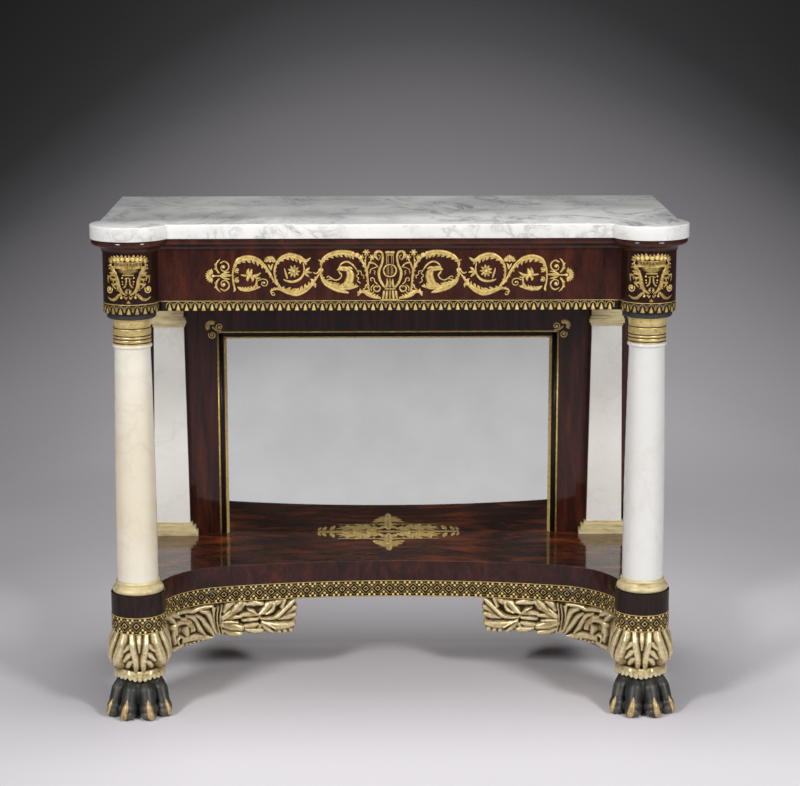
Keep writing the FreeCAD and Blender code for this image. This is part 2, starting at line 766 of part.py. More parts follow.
def drill_screws(body, places):
    for x, height in places:
        rod(body, "Subtractive", x, dim.back_thickness, height,
            dim.screw_radius + gap, dim.screw_length + gap, INTO_BACK)


for hand, sign in LEFT_AND_RIGHT:
    stile = new_body(f"back_stile_{hand}")
    block(stile, "Additive",
          (sign * opening_half, sign * side_x), (0, dim.back_thickness), (0, stile_height))
    block(stile, "Additive",
          (sign * (stile_middle - stile_tenon_half), sign * (stile_middle + stile_tenon_half)),
          edge_tenon, (-dim.tenon_length, 0))
    edge_x = sign * (opening_half - over)
    block(stile, "Subtractive", (edge_x, sign * (opening_half + dim.glass_rebate)),
          (dim.mirror_lip, dim.back_thickness + over), (-over, opening_top + dim.glass_rebate))
    block(stile, "Subtractive", (edge_x, sign * (opening_half + dim.board_rebate)),
          (dim.back_thickness - board_thickness, dim.back_thickness + over),
          (-over, opening_top + dim.board_rebate))
    block(stile, "Subtractive", (sign * (side_rail_x - thin - gap), sign * (side_rail_x + thin + gap)),
          (-over, dim.tenon_length + gap),
          (stile_apron + dim.tenon_shoulder - gap, stile_height - dim.tenon_shoulder + gap))
    mortise_x = (edge_x, sign * (opening_half + dim.tenon_length + gap))
    block(stile, "Subtractive", mortise_x, edge_mortise, (rail_tenon_low - gap, rail_tenon_high + gap))
    block(stile, "Subtractive", mortise_x, edge_mortise,
          (stile_apron + dim.tenon_shoulder - gap, stile_height - dim.tenon_shoulder + gap))
    drill_screws(stile, [(sign * screw_x, height) for height in side_screws])
    place(stile, 0, frame_y, board_z)
    name_piece(stile, f"back_stile_{hand}")

top_rail = new_body("back_top_rail")
block(top_rail, "Additive",
      (-opening_half, opening_half), (0, dim.back_thickness), (opening_top, stile_apron))
block(top_rail, "Subtractive", (-opening_half - over, opening_half + over),
      (dim.mirror_lip, dim.back_thickness + over), (opening_top - over, opening_top + dim.glass_rebate))
block(top_rail, "Subtractive", (-opening_half - over, opening_half + over),
      (dim.back_thickness - board_thickness, dim.back_thickness + over),
      (opening_top - over, opening_top + dim.board_rebate))
block(top_rail, "Additive", (-opening_half - dim.tenon_length, opening_half + dim.tenon_length),
      edge_tenon, (rail_tenon_low, rail_tenon_high))
drill_screws(top_rail, [(x, opening_top + screw_margin) for x in top_screws])
place(top_rail, 0, frame_y, board_z)
name_piece(top_rail, "back_top_rail")

glass = new_body("mirror_plate")
glass_half = opening_half + dim.glass_rebate - gap
block(glass, "Additive",
      (-glass_half, glass_half), (0, dim.glass_thickness), (0, opening_top + dim.glass_rebate - gap))
place(glass, 0, frame_y + dim.mirror_lip, board_z)
name_piece(glass, "mirror_plate")

backboard = new_body("mirror_backboard")
backboard_half = opening_half + dim.board_rebate - gap
block(backboard, "Additive",
      (-backboard_half, backboard_half),
      (dim.back_thickness - board_thickness, dim.back_thickness),
      (0, opening_top + dim.board_rebate - gap))
drill_screws(backboard, screw_places)
for x, height in screw_places:
    rod(backboard, "Subtractive", x, dim.back_thickness, height, dim.screw_head_radius + gap,
        dim.screw_head_height + gap, INTO_BACK)
place(backboard, 0, frame_y, board_z)
name_piece(backboard, "mirror_backboard")

screws = []
shank = (dim.screw_radius, dim.screw_length)
screw_head = (dim.screw_head_radius, dim.screw_head_height)
for x, height in screw_places:
    parts_of_screw = []
    for radius, length in (shank, screw_head):
        cylinder = doc.addObject("Part::Cylinder", "screw_part")
        cylinder.Placement = FreeCAD.Placement(FreeCAD.Vector(), FreeCAD.Rotation(*INTO_BACK))
        bind(cylinder, "Radius", radius)
        bind(cylinder, "Height", length)
        place(cylinder, x, back_y, board_z + height)
        parts_of_screw.append(cylinder)
    screw = doc.addObject("Part::Fuse", "screw")
    screw.Base, screw.Tool = parts_of_screw
    screws.append(screw)
group("backboard_screws", screws)

fillet_slope = root(dim.fillet_width * dim.fillet_width + dim.mirror_lip * dim.mirror_lip)
for hand, sign in LEFT_AND_RIGHT:
    fillet = new_body(f"mirror_fillet_{hand}")
    pad(fillet, draw(fillet, "XY_Plane", [
        (0, dim.mirror_lip),
        (0, -dim.fillet_proud, -sign * 2 * fillet_slope),
        (-sign * dim.fillet_width, dim.mirror_lip),
    ]), dim.opening_height - dim.fillet_width)
    place(fillet, sign * opening_half, frame_y, shelf_z)
    name_piece(fillet, f"mirror_fillet_{hand}")
top_fillet = new_body("mirror_fillet_top")
pad(top_fillet, draw(top_fillet, "YZ_Plane", [
    (dim.mirror_lip, 0),
    (-dim.fillet_proud, 0, 2 * fillet_slope),
    (dim.mirror_lip, -dim.fillet_width),
]), 2 * opening_half, midplane=True)
place(top_fillet, 0, frame_y, shelf_z + dim.opening_height)
name_piece(top_fillet, "mirror_fillet_top")


# Pilasters on the back frame: tapered marble slabs between gilt bases and capitals.
BASE_STEP_SHARES = ((0.42, 1.0), (0.34, 0.7), (0.24, 0.3))
ECHINUS_STEP_SHARES = ((0.3, 0.4), (0.45, 1.0), (0.25, 0.6))
pilaster_z = shelf_z + dim.pilaster_base_height
pilaster_capital_z = apron_z - dim.pilaster_capital_height
pilaster_height = pilaster_capital_z - pilaster_z


def stepped_block(body, half_width, depth, height, side, front, steps):
    """Stack of steps that stand proud of a slab on its two sides and its front."""
    low = as_size(0)
    for height_share, reach_share in steps:
        high = low + height_share * height
        wide = half_width + reach_share * side
        block(body, "Additive", (-wide, wide), (-depth - reach_share * front, 0), (low, high))
        low = high
    return low


for hand, sign in LEFT_AND_RIGHT:
    pilaster_x = sign * (half - dim.pilaster_inset)
    top_half = dim.pilaster_top_width / 2
    bottom_half = dim.pilaster_bottom_width / 2
    pilaster = new_body(f"pilaster_{hand}")
    pad(pilaster, draw(pilaster, "XZ_Plane", [
        (-bottom_half, 0),
        (bottom_half, 0),
        (top_half, pilaster_height),
        (-top_half, pilaster_height),
    ]), dim.pilaster_thickness)
    place(pilaster, pilaster_x, frame_y, pilaster_z)
    name_piece(pilaster, f"pilaster_{hand}")

    plinth = new_body(f"pilaster_base_{hand}")
    stepped_block(plinth, bottom_half, dim.pilaster_thickness, dim.pilaster_base_height,
                  dim.pilaster_base_side, dim.pilaster_base_front, BASE_STEP_SHARES)
    place(plinth, pilaster_x, frame_y, shelf_z)
    name_piece(plinth, f"pilaster_base_{hand}")

    head = new_body(f"pilaster_capital_{hand}")
    echinus_top = stepped_block(head, top_half, dim.pilaster_thickness, dim.echinus_height,
                                dim.echinus_reach, dim.echinus_reach, ECHINUS_STEP_SHARES)
    block(head, "Additive", (-top_half, top_half), (-dim.pilaster_thickness, 0),
          (echinus_top, dim.pilaster_capital_height))
    place(head, pilaster_x, frame_y, pilaster_capital_z)
    name_piece(head, f"pilaster_capital_{hand}")


# Front legs: a turned knee with carved flutes, and a paw with four toes and gilt claws.
FLUTE_COUNT = 12
FLUTE_HEIGHT_SHARE = 0.4
TOE_LEAN = (FreeCAD.Vector(1, 0, 0), -28)
CLAW_LEAN = (FreeCAD.Vector(1, 0, 0), -6)
CLAW_SINK_SHARE = 0.4
toe_z = dim.toe_radius - dim.toe_sole
knee_height = dim.foot_height - dim.paw_height


def knee_profile(grow):
    swell_low = arc_radius(dim.knee_widest_height, dim.knee_radius - dim.knee_neck_radius)
    swell_high = arc_radius(knee_height - dim.knee_widest_height, dim.knee_radius - dim.knee_top_radius)
    return [
        (0, 0),
        (dim.knee_neck_radius + grow, 0, swell_low),
        (dim.knee_radius + grow, dim.knee_widest_height, swell_high),
        (dim.knee_top_radius + grow, knee_height),
        (0, knee_height),
    ]


knee_clearances = []
for hand, sign in LEFT_AND_RIGHT:
    knee = new_body(f"leaf_knee_{hand}")
    bell = turn(knee, knee_profile(0))
    flute = egg(knee, "Subtractive", 0, -dim.knee_radius, dim.knee_widest_height,
                dim.knee_flute_width / 2, dim.knee_flute_depth, FLUTE_HEIGHT_SHARE * knee_height)
    flutes = knee.newObject("PartDesign::PolarPattern", "Flutes")
    flutes.Originals = [flute]
    flutes.Axis = (bell.Profile[0], ["V_Axis"])
    flutes.Angle = 360
    flutes.Occurrences = FLUTE_COUNT
    knee.Tip = flutes
    rod(knee, "Additive", 0, 0, knee_height, dim.knee_pin_radius, dim.knee_pin_length)
    rod(knee, "Subtractive", 0, 0, -over, dim.paw_pin_radius + gap, dim.paw_pin_length + gap + over)
    place(knee, sign * half, axis_y, dim.paw_height)
    name_piece(knee, f"leaf_knee_{hand}")

    clearance = new_body(f"knee_clearance_{hand}")
    turn(clearance, knee_profile(gap))
    place(clearance, sign * half, axis_y, dim.paw_height)
    knee_clearances.append(clearance)

    ankle = new_body(f"ankle_{hand}")
    turn(ankle, [
        (0, 0),
        (dim.heel_radius, 0),
        (dim.ankle_radius, dim.paw_height),
        (dim.paw_pin_radius, dim.paw_height),
        (dim.paw_pin_radius, dim.paw_height + dim.paw_pin_length),
        (0, dim.paw_height + dim.paw_pin_length),
    ])
    place(ankle, sign * half, axis_y, 0)
    toe_places = []
    middle_toe = (dim.middle_toe_spread, dim.toe_reach)
    outer_toe = (dim.toe_spread, dim.toe_reach - dim.outer_toe_setback)
    for toe_x, reach in (middle_toe, outer_toe):
        for toe_side in (-1, 1):
            toe_places.append((sign * half + toe_side * toe_x, axis_y - reach))
    lumps = [ankle]
    for toe_x, toe_front in toe_places:
        toe = new_body(f"toe_{hand}")
        turn(toe, [
            (0, -dim.toe_radius, dim.toe_radius),
            (dim.toe_radius, 0),
            (dim.knuckle_radius, dim.toe_length, dim.knuckle_radius),
            (0, dim.toe_length + dim.knuckle_radius),
        ])
        toe.Placement = FreeCAD.Placement(FreeCAD.Vector(), FreeCAD.Rotation(*TOE_LEAN))
        place(toe, toe_x, toe_front + dim.toe_radius, toe_z)
        lumps.append(toe)
    whole = doc.addObject("Part::MultiFuse", f"paw_{hand}")
    whole.Shapes = lumps
    ground = box_piece((sign * half - 2 * dim.knee_radius, sign * half + 2 * dim.knee_radius),
                       (axis_y - 2 * dim.knee_radius, axis_y + 2 * dim.knee_radius), (-dim.toe_radius, 0))
    paw = name_piece(cut_piece(whole, ground), f"paw_foot_{hand}")

    claws = []
    for toe_x, toe_front in toe_places:
        claw = new_body(f"claw_{hand}")
        turn(claw, [
            (0, dim.claw_radius - dim.claw_length),
            (dim.claw_radius, 0, dim.claw_radius),
            (0, dim.claw_radius),
        ])
        claw.Placement = FreeCAD.Placement(FreeCAD.Vector(), FreeCAD.Rotation(*CLAW_LEAN))
        claw_y = toe_front + CLAW_SINK_SHARE * dim.claw_radius
        place(claw, toe_x, claw_y, dim.claw_length - dim.claw_radius)
        claws.append(cut_piece(claw, paw))
    group(f"paw_claws_{hand}", claws)


# Leaf brackets: carved lengths that follow the shelf front from each knee, waisted at the tie.
BRACKET_STATION_SHARES = (
    (0.0, 0.95, 1.0), (0.15, 1.0, 1.0), (0.3, 0.98, 1.0), (0.45, 0.92, 0.9), (0.53, 0.8, 0.75),
    (0.57, 0.74, 0.7), (0.61, 0.8, 0.78), (0.68, 0.95, 0.95), (0.76, 1.0, 1.0), (0.84, 0.9, 0.9),
    (0.92, 0.95, 0.85), (0.97, 0.8, 0.65), (1.0, 0.5, 0.4),
)
BRACKET_BACK_SHARE = 0.75
BRACKET_BELLY_SHARE = 0.4
BRACKET_FRONT_SHARE = 0.45
BRACKET_BROW_SHARE = 0.15


bracket_end_radius = (dim.end_curve_radius + dim.bracket_setback).value
bracket_sweep_radius = (sweep_radius + dim.bracket_setback).value
join_angle = math.asin(end_centre_x.value / curve_step.value)
stop_angle = math.asin(dim.bracket_spacing.value / 2 / bracket_sweep_radius)
end_curve_length = bracket_end_radius * (math.pi / 2 - join_angle)
bracket_length = end_curve_length + bracket_sweep_radius * (join_angle - stop_angle)


def bracket_path(distance):
    """Point on the shelf front and the way out of the wood there, at a distance from the drum."""
    if distance < end_curve_length:
        angle = distance / bracket_end_radius
        centre = FreeCAD.Vector(end_centre_x.value, end_centre_y.value, 0)
        outward = FreeCAD.Vector(math.cos(angle), math.sin(angle), 0)
        return centre + outward * bracket_end_radius, -outward
    angle = join_angle - (distance - end_curve_length) / bracket_sweep_radius
    centre = FreeCAD.Vector(0, sweep_centre_y.value, 0)
    outward = FreeCAD.Vector(math.sin(angle), math.cos(angle), 0)
    return centre + outward * bracket_sweep_radius, -outward


def bracket_section(share, height_share, depth_share, sign):
    foot, outward = bracket_path(share * bracket_length)
    height = height_share * dim.bracket_height.value
    depth = depth_share * dim.bracket_thickness.value

    def corner(back, down):
        point = foot - outward * (back * depth)
        return FreeCAD.Vector(sign * point.x, point.y, base_z.value - down * height)

    back_top = corner(1, 0)
    back_low = corner(1, BRACKET_BACK_SHARE)
    belly = corner(BRACKET_BELLY_SHARE, 1)
    front = corner(0, BRACKET_FRONT_SHARE)
    brow = corner(BRACKET_BROW_SHARE, 0)
    return Part.Wire([
        Part.LineSegment(back_top, back_low).toShape(),
        Part.Arc(back_low, belly, front).toShape(),
        Part.LineSegment(front, brow).toShape(),
        Part.LineSegment(brow, back_top).toShape(),
    ])


for clearance, (hand, sign) in zip(knee_clearances, LEFT_AND_RIGHT):
    carving = doc.addObject("Part::Feature", f"bracket_carving_{hand}")
    sections = [bracket_section(*station, sign) for station in BRACKET_STATION_SHARES]
    carving.Shape = Part.makeLoft(sections, True, True)
    name_piece(cut_piece(carving, clearance), f"leaf_bracket_{hand}")


# Rear feet: plain turned feet pinned into the corner blocks.
REAR_FOOT_SHARES = SimpleNamespace(bulb=0.22, waist=0.55, ring_low=0.66, ring_high=0.74, ring_reach=0.33)
for hand, sign in LEFT_AND_RIGHT:
    foot = new_body(f"rear_foot_{hand}")
    bulb_z = REAR_FOOT_SHARES.bulb * dim.foot_height
    waist_z = REAR_FOOT_SHARES.waist * dim.foot_height
    ring_low = REAR_FOOT_SHARES.ring_low * dim.foot_height
    ring_high = REAR_FOOT_SHARES.ring_high * dim.foot_height
    neck = dim.rear_foot_neck
    ring_reach = REAR_FOOT_SHARES.ring_reach * (dim.rear_foot_radius - neck)
    turn(foot, [
        (0, 0),
        (dim.rear_foot_pad, 0, arc_radius(bulb_z, dim.rear_foot_radius - dim.rear_foot_pad)),
        (dim.rear_foot_radius, bulb_z),
        (neck, waist_z),
        (neck, ring_low, arc_radius((ring_high - ring_low) / 2, ring_reach)),
        (neck, ring_high),
        (dim.rear_foot_radius, dim.foot_height),
        (dim.rear_foot_pin_radius, dim.foot_height),
        (dim.rear_foot_pin_radius, dim.foot_height + dim.rear_foot_pin_length),
        (0, dim.foot_height + dim.rear_foot_pin_length),
    ])
    place(foot, sign * rear_foot_x, rear_foot_y, 0)
    name_piece(foot, f"rear_foot_{hand}")


# Each object has to be sound before any file is written.
doc.recompute()
failed = [item for item in doc.Objects if {"Invalid", "Error"} & set(item.State)]
failed += [piece for piece in pieces if piece.Shape.isNull() or not piece.Shape.isValid()]
if failed:
    raise RuntimeError("unsound: " + ", ".join(item.Label for item in failed))
os.makedirs("parts", exist_ok=True)
for piece in pieces:
    piece.Shape.exportStep(os.path.join("parts", f"{piece.Label}.step"))
print(len(pieces), "pieces written")
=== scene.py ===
import math

import bpy
import numpy as np
from mathutils import Matrix, Vector
from mathutils.bvhtree import BVHTree


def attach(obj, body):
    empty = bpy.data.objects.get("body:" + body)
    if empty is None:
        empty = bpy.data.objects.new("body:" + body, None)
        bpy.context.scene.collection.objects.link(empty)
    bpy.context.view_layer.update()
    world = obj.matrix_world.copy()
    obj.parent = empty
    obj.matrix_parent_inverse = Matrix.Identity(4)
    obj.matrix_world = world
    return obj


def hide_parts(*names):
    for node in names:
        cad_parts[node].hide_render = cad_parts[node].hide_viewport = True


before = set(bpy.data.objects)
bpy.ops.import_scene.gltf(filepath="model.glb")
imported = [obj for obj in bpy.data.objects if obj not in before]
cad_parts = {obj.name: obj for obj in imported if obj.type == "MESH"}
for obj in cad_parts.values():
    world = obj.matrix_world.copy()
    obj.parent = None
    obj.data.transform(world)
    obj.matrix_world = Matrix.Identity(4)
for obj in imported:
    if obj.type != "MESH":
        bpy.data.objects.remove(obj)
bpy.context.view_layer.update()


# Paw feet. Each is carved from one block of wood, stained black and varnished, with four
# toes that spread from an ankle. A turned pin on its top is glued into the knee above.
SIDES = (("left", -1), ("right", 1))
LEG_X = 467
LEG_Y = -179
PAW_TOP = 72


class Finish:
    """A surface finish. Plain values sit on the shader's sockets, and patterns are linked to them."""

    def __init__(self, name, plain):
        self.material = bpy.data.materials.new(name)
        self.material.use_nodes = True
        self.tree = self.material.node_tree
        self.shader = self.tree.nodes["Principled BSDF"]
        for socket, value in plain.items():
            self.feed(self.shader.inputs[socket], value)

    def feed(self, socket, value):
        if isinstance(value, bpy.types.NodeSocket):
            self.tree.links.new(value, socket)
        elif socket.type == "RGBA" and len(value) == 3:
            socket.default_value = (*value, 1)
        else:
            socket.default_value = value

    def wear(self, socket, pattern):
        self.tree.links.new(pattern, self.shader.inputs[socket])

    def layer(self, kind, sockets, **settings):
        node = self.tree.nodes.new("ShaderNode" + kind)
        for name, value in settings.items():
            setattr(node, name, value)
        for name, value in sockets.items():
            self.feed(node.inputs[name], value)
        return node

    def spot(self, stretch=(1, 1, 1), turn=(0, 0, 0)):
        """Where a point lies on the piece, in metres, stretched along the grain."""
        place = self.layer("TexCoord", {}).outputs["Object"]
        return self.layer("Mapping", {"Vector": place, "Scale": stretch, "Rotation": turn}).outputs["Vector"]

    def clouds(self, spot, size, detail=4, roughness=0.55, twist=0):
        sockets = {"Vector": spot, "Scale": 1 / size, "Detail": detail, "Roughness": roughness, "Distortion": twist}
        return self.layer("TexNoise", sockets).outputs["Fac"]

    def tones(self, share, stops):
        """Colours along a scale from 0 to 1. A single number stands for a grey."""
        node = self.layer("ValToRGB", {"Fac": share})
        marks = node.color_ramp.elements
        marks[0].position = stops[0][0]
        marks[1].position = stops[-1][0]
        for place, _ in stops[1:-1]:
            marks.new(place)
        for mark, (_, colour) in zip(sorted(marks, key=lambda each: each.position), stops):
            mark.color = (*colour, 1) if isinstance(colour, tuple) else (colour, colour, colour, 1)
        return node.outputs["Color"]

    def mix(self, share, under, over, how="MIX"):
        node = self.layer("Mix", {}, data_type="RGBA", blend_type=how)
        for place, value in ((0, share), (6, under), (7, over)):
            self.feed(node.inputs[place], value)
        return node.outputs[2]

    def sum(self, first, second, how="ADD"):
        node = self.layer("Math", {}, operation=how)
        self.feed(node.inputs[0], first)
        self.feed(node.inputs[1], second)
        return node.outputs["Value"]

    def crests(self):
        """How far a carving's point stands out, from 0 in a crease to 1 on a crest. On laid ornament it holds the
        painted shade and highlight of its ribs.
        """
        return self.layer("Attribute", {}, attribute_name="crest").outputs["Fac"]

    def relief(self, height, depth):
        bump = self.layer("Bump", {"Height": height, "Distance": depth, "Strength": 0.8})
        self.wear("Normal", bump.outputs["Normal"])


def make_piece(name, points, faces, finish, replaced=(), body="table"):
    """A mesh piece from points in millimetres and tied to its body."""
    mesh = bpy.data.meshes.new(name)
    mesh.from_pydata([(x / 1000, y / 1000, z / 1000) for x, y, z in points], [], faces)
    mesh.polygons.foreach_set("use_smooth", [True] * len(mesh.polygons))
    mesh.materials.append(finish.material)
    piece = bpy.data.objects.new(name, mesh)
    bpy.context.scene.collection.objects.link(piece)
    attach(piece, body)
    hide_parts(*replaced)
    return piece


def dress(finish, *names):
    """Gives turned and sawn pieces their finish as they are."""
    for name in names:
        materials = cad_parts[name].data.materials
        materials.clear()
        materials.append(finish.material)


def carve(piece, tool, strokes):
    """Works a rough shape into one carved skin, with a tool of this width, and softens it in a few strokes."""
    skin = piece.modifiers.new("skin", "REMESH")
    skin.mode = "VOXEL"
    skin.voxel_size = tool / 1000
    skin.use_smooth_shade = True
    soften = piece.modifiers.new("soften", "SMOOTH")
    soften.iterations = strokes
    worked = bpy.data.meshes.new_from_object(piece.evaluated_get(bpy.context.evaluated_depsgraph_get()))
    piece.modifiers.clear()
    piece.data = worked


def note_crests(piece, reach):
    """Compares the carving with a blurred copy of itself and stores what stands out."""
    mesh = piece.data
    count = len(mesh.vertices)
    spots = np.empty(count * 3)
    mesh.vertices.foreach_get("co", spots)
    spots = spots.reshape(-1, 3)
    outward = np.empty(count * 3)
    mesh.vertex_normals.foreach_get("vector", outward)
    outward = outward.reshape(-1, 3)
    ties = np.empty(len(mesh.edges) * 2, int)
    mesh.edges.foreach_get("vertices", ties)
    near = np.concatenate((ties[0::2], ties[1::2]))
    far = np.concatenate((ties[1::2], ties[0::2]))
    amount = np.maximum(np.bincount(near, minlength=count), 1)
    blurred = spots
    for _ in range(reach):
        blurred = np.stack([np.bincount(near, blurred[far, k], count) / amount for k in range(3)], 1)
    height = ((spots - blurred) * outward).sum(1)
    height = np.clip(0.5 + height / (4 * height.std()), 0, 1)
    mesh.attributes.new("crest", "FLOAT", "POINT").data.foreach_set("value", height.astype(np.float32))


def wrap(rows, size, start=0, falling=False):
    """Faces between rows of points that go round a piece. The rows rise, or fall where that is said."""
    faces = []
    for low in range(start, start + (rows - 1) * size, size):
        for j in range(size):
            after = (j + 1) % size
            face = (low + j, low + after, low + size + after, low + size + j)
            faces.append((face[0], *face[:0:-1]) if falling else face)
    return faces


def egg(points, faces, centre, radii, turns=20, rings=12):
    """Adds an egg-shaped lump."""
    start = len(points)
    for ring in range(1, rings):
        tilt = math.pi * ring / rings
        for turn in range(turns):
            angle = 2 * math.pi * turn / turns
            points.append((centre[0] + radii[0] * math.sin(tilt) * math.cos(angle),
                           centre[1] + radii[1] * math.sin(tilt) * math.sin(angle),
                           centre[2] + radii[2] * math.cos(tilt)))
    faces += wrap(rings - 1, turns, start, falling=True)
    top = len(points)
    points.append((centre[0], centre[1], centre[2] + radii[2]))
    points.append((centre[0], centre[1], centre[2] - radii[2]))
    last = start + (rings - 2) * turns
    for turn in range(turns):
        after = (turn + 1) % turns
        faces.append((top, start + turn, start + after))
        faces.append((top + 1, last + after, last + turn))


black_stain = Finish("black_stain", {"Coat Weight": 0.15, "Coat Roughness": 0.3})
spread = black_stain.clouds(black_stain.spot((1, 1, 0.4)), 0.012, 6, 0.65)
rubbed = black_stain.sum(black_stain.crests(), black_stain.clouds(black_stain.spot(), 0.03, 5), "MULTIPLY")
rubbed = black_stain.tones(rubbed, ((0.34, 0.0), (0.56, 0.75)))
stained = black_stain.tones(spread, ((0.3, (0.012, 0.013, 0.011)), (0.7, (0.034, 0.035, 0.030))))
black_stain.wear("Base Color", black_stain.mix(rubbed, stained, (0.115, 0.092, 0.062)))
black_stain.wear("Roughness", black_stain.tones(spread, ((0.25, 0.40), (0.75, 0.62))))
black_stain.relief(spread, 0.0004)

PAW_LUMPS = (
    (0, 3, 58, 42, 41, 30), (0, 22, 17, 37, 30, 18), (0, -6, 32, 42, 38, 28),
    (18.5, -48, 17, 17.5, 20, 18), (19, -55, 10, 16, 16, 11),
    (45, -27, 16, 15.5, 18, 16.5), (46.5, -34, 10, 13.5, 15, 11),
)
BONE_STEPS = 9
TOE_BONES = (
    ((9.5, -18, 65), (14, -37, 47), 13.5, 15.5), ((14, -37, 47), (17.5, -46, 28), 15.5, 14.5),
    ((29, -4, 63), (38.5, -16, 46), 12.5, 14), ((38.5, -16, 46), (44, -25, 27), 14, 12.5),
)
paws = {}
for hand, sign in SIDES:
    points, faces = [], []
    for x, y, z, *radii in PAW_LUMPS:
        for side in (-1, 1) if x else (1,):
            egg(points, faces, (sign * LEG_X + side * x, LEG_Y + y, z), radii)
    for high, low, narrow, wide in TOE_BONES:
        for share in np.linspace(0, 1, BONE_STEPS):
            x, y, z = np.array(high) + share * (np.array(low) - np.array(high))
            radius = narrow + share * (wide - narrow)
            for side in (-1, 1):
                egg(points, faces, (sign * LEG_X + side * x, LEG_Y + y, z), (radius, radius, radius))
    paw = make_piece(f"carved_paw_{hand}", points, faces, black_stain, [f"paw_foot_{hand}"])
    carve(paw, tool=1.3, strokes=5)
    for point in paw.data.vertices:
        point.co.z = min(max(point.co.z, 0), PAW_TOP / 1000)
    note_crests(paw, reach=14)
    paws[hand] = paw


# Claws. Small pointed tongues of wood, gilded, let into a groove on the front of each toe.
# They widen below the root and run down to the floor, leaning outward.
CLAW_TOES = ((18.5, -47, 17, 12), (45.5, -27, 16, 34))
CLAW_LINE = ((-2.6, 20), (-1, 9), (1.5, -3), (4.5, -15))
CLAW_WIDTHS = (4, 8.6, 10.4, 10.6, 9, 5.5)
PAD_RADIUS = 18


def smooth_line(points, steps):
    """Points along a smooth curve through the given ones."""
    knots = np.array(points, float)
    ends = np.vstack((2 * knots[0] - knots[1], knots, 2 * knots[-1] - knots[-2]))
    line = []
    for k in range(len(knots) - 1):
        before, start, end, after = ends[k:k + 4]
        for share in np.linspace(0, 1, steps, endpoint=False):
            line.append(0.5 * (2 * start + (end - before) * share
                               + (2 * before - 5 * start + 4 * end - after) * share ** 2
                               + (3 * start - before - 3 * end + after) * share ** 3))
    return np.array(line + [knots[-1]])


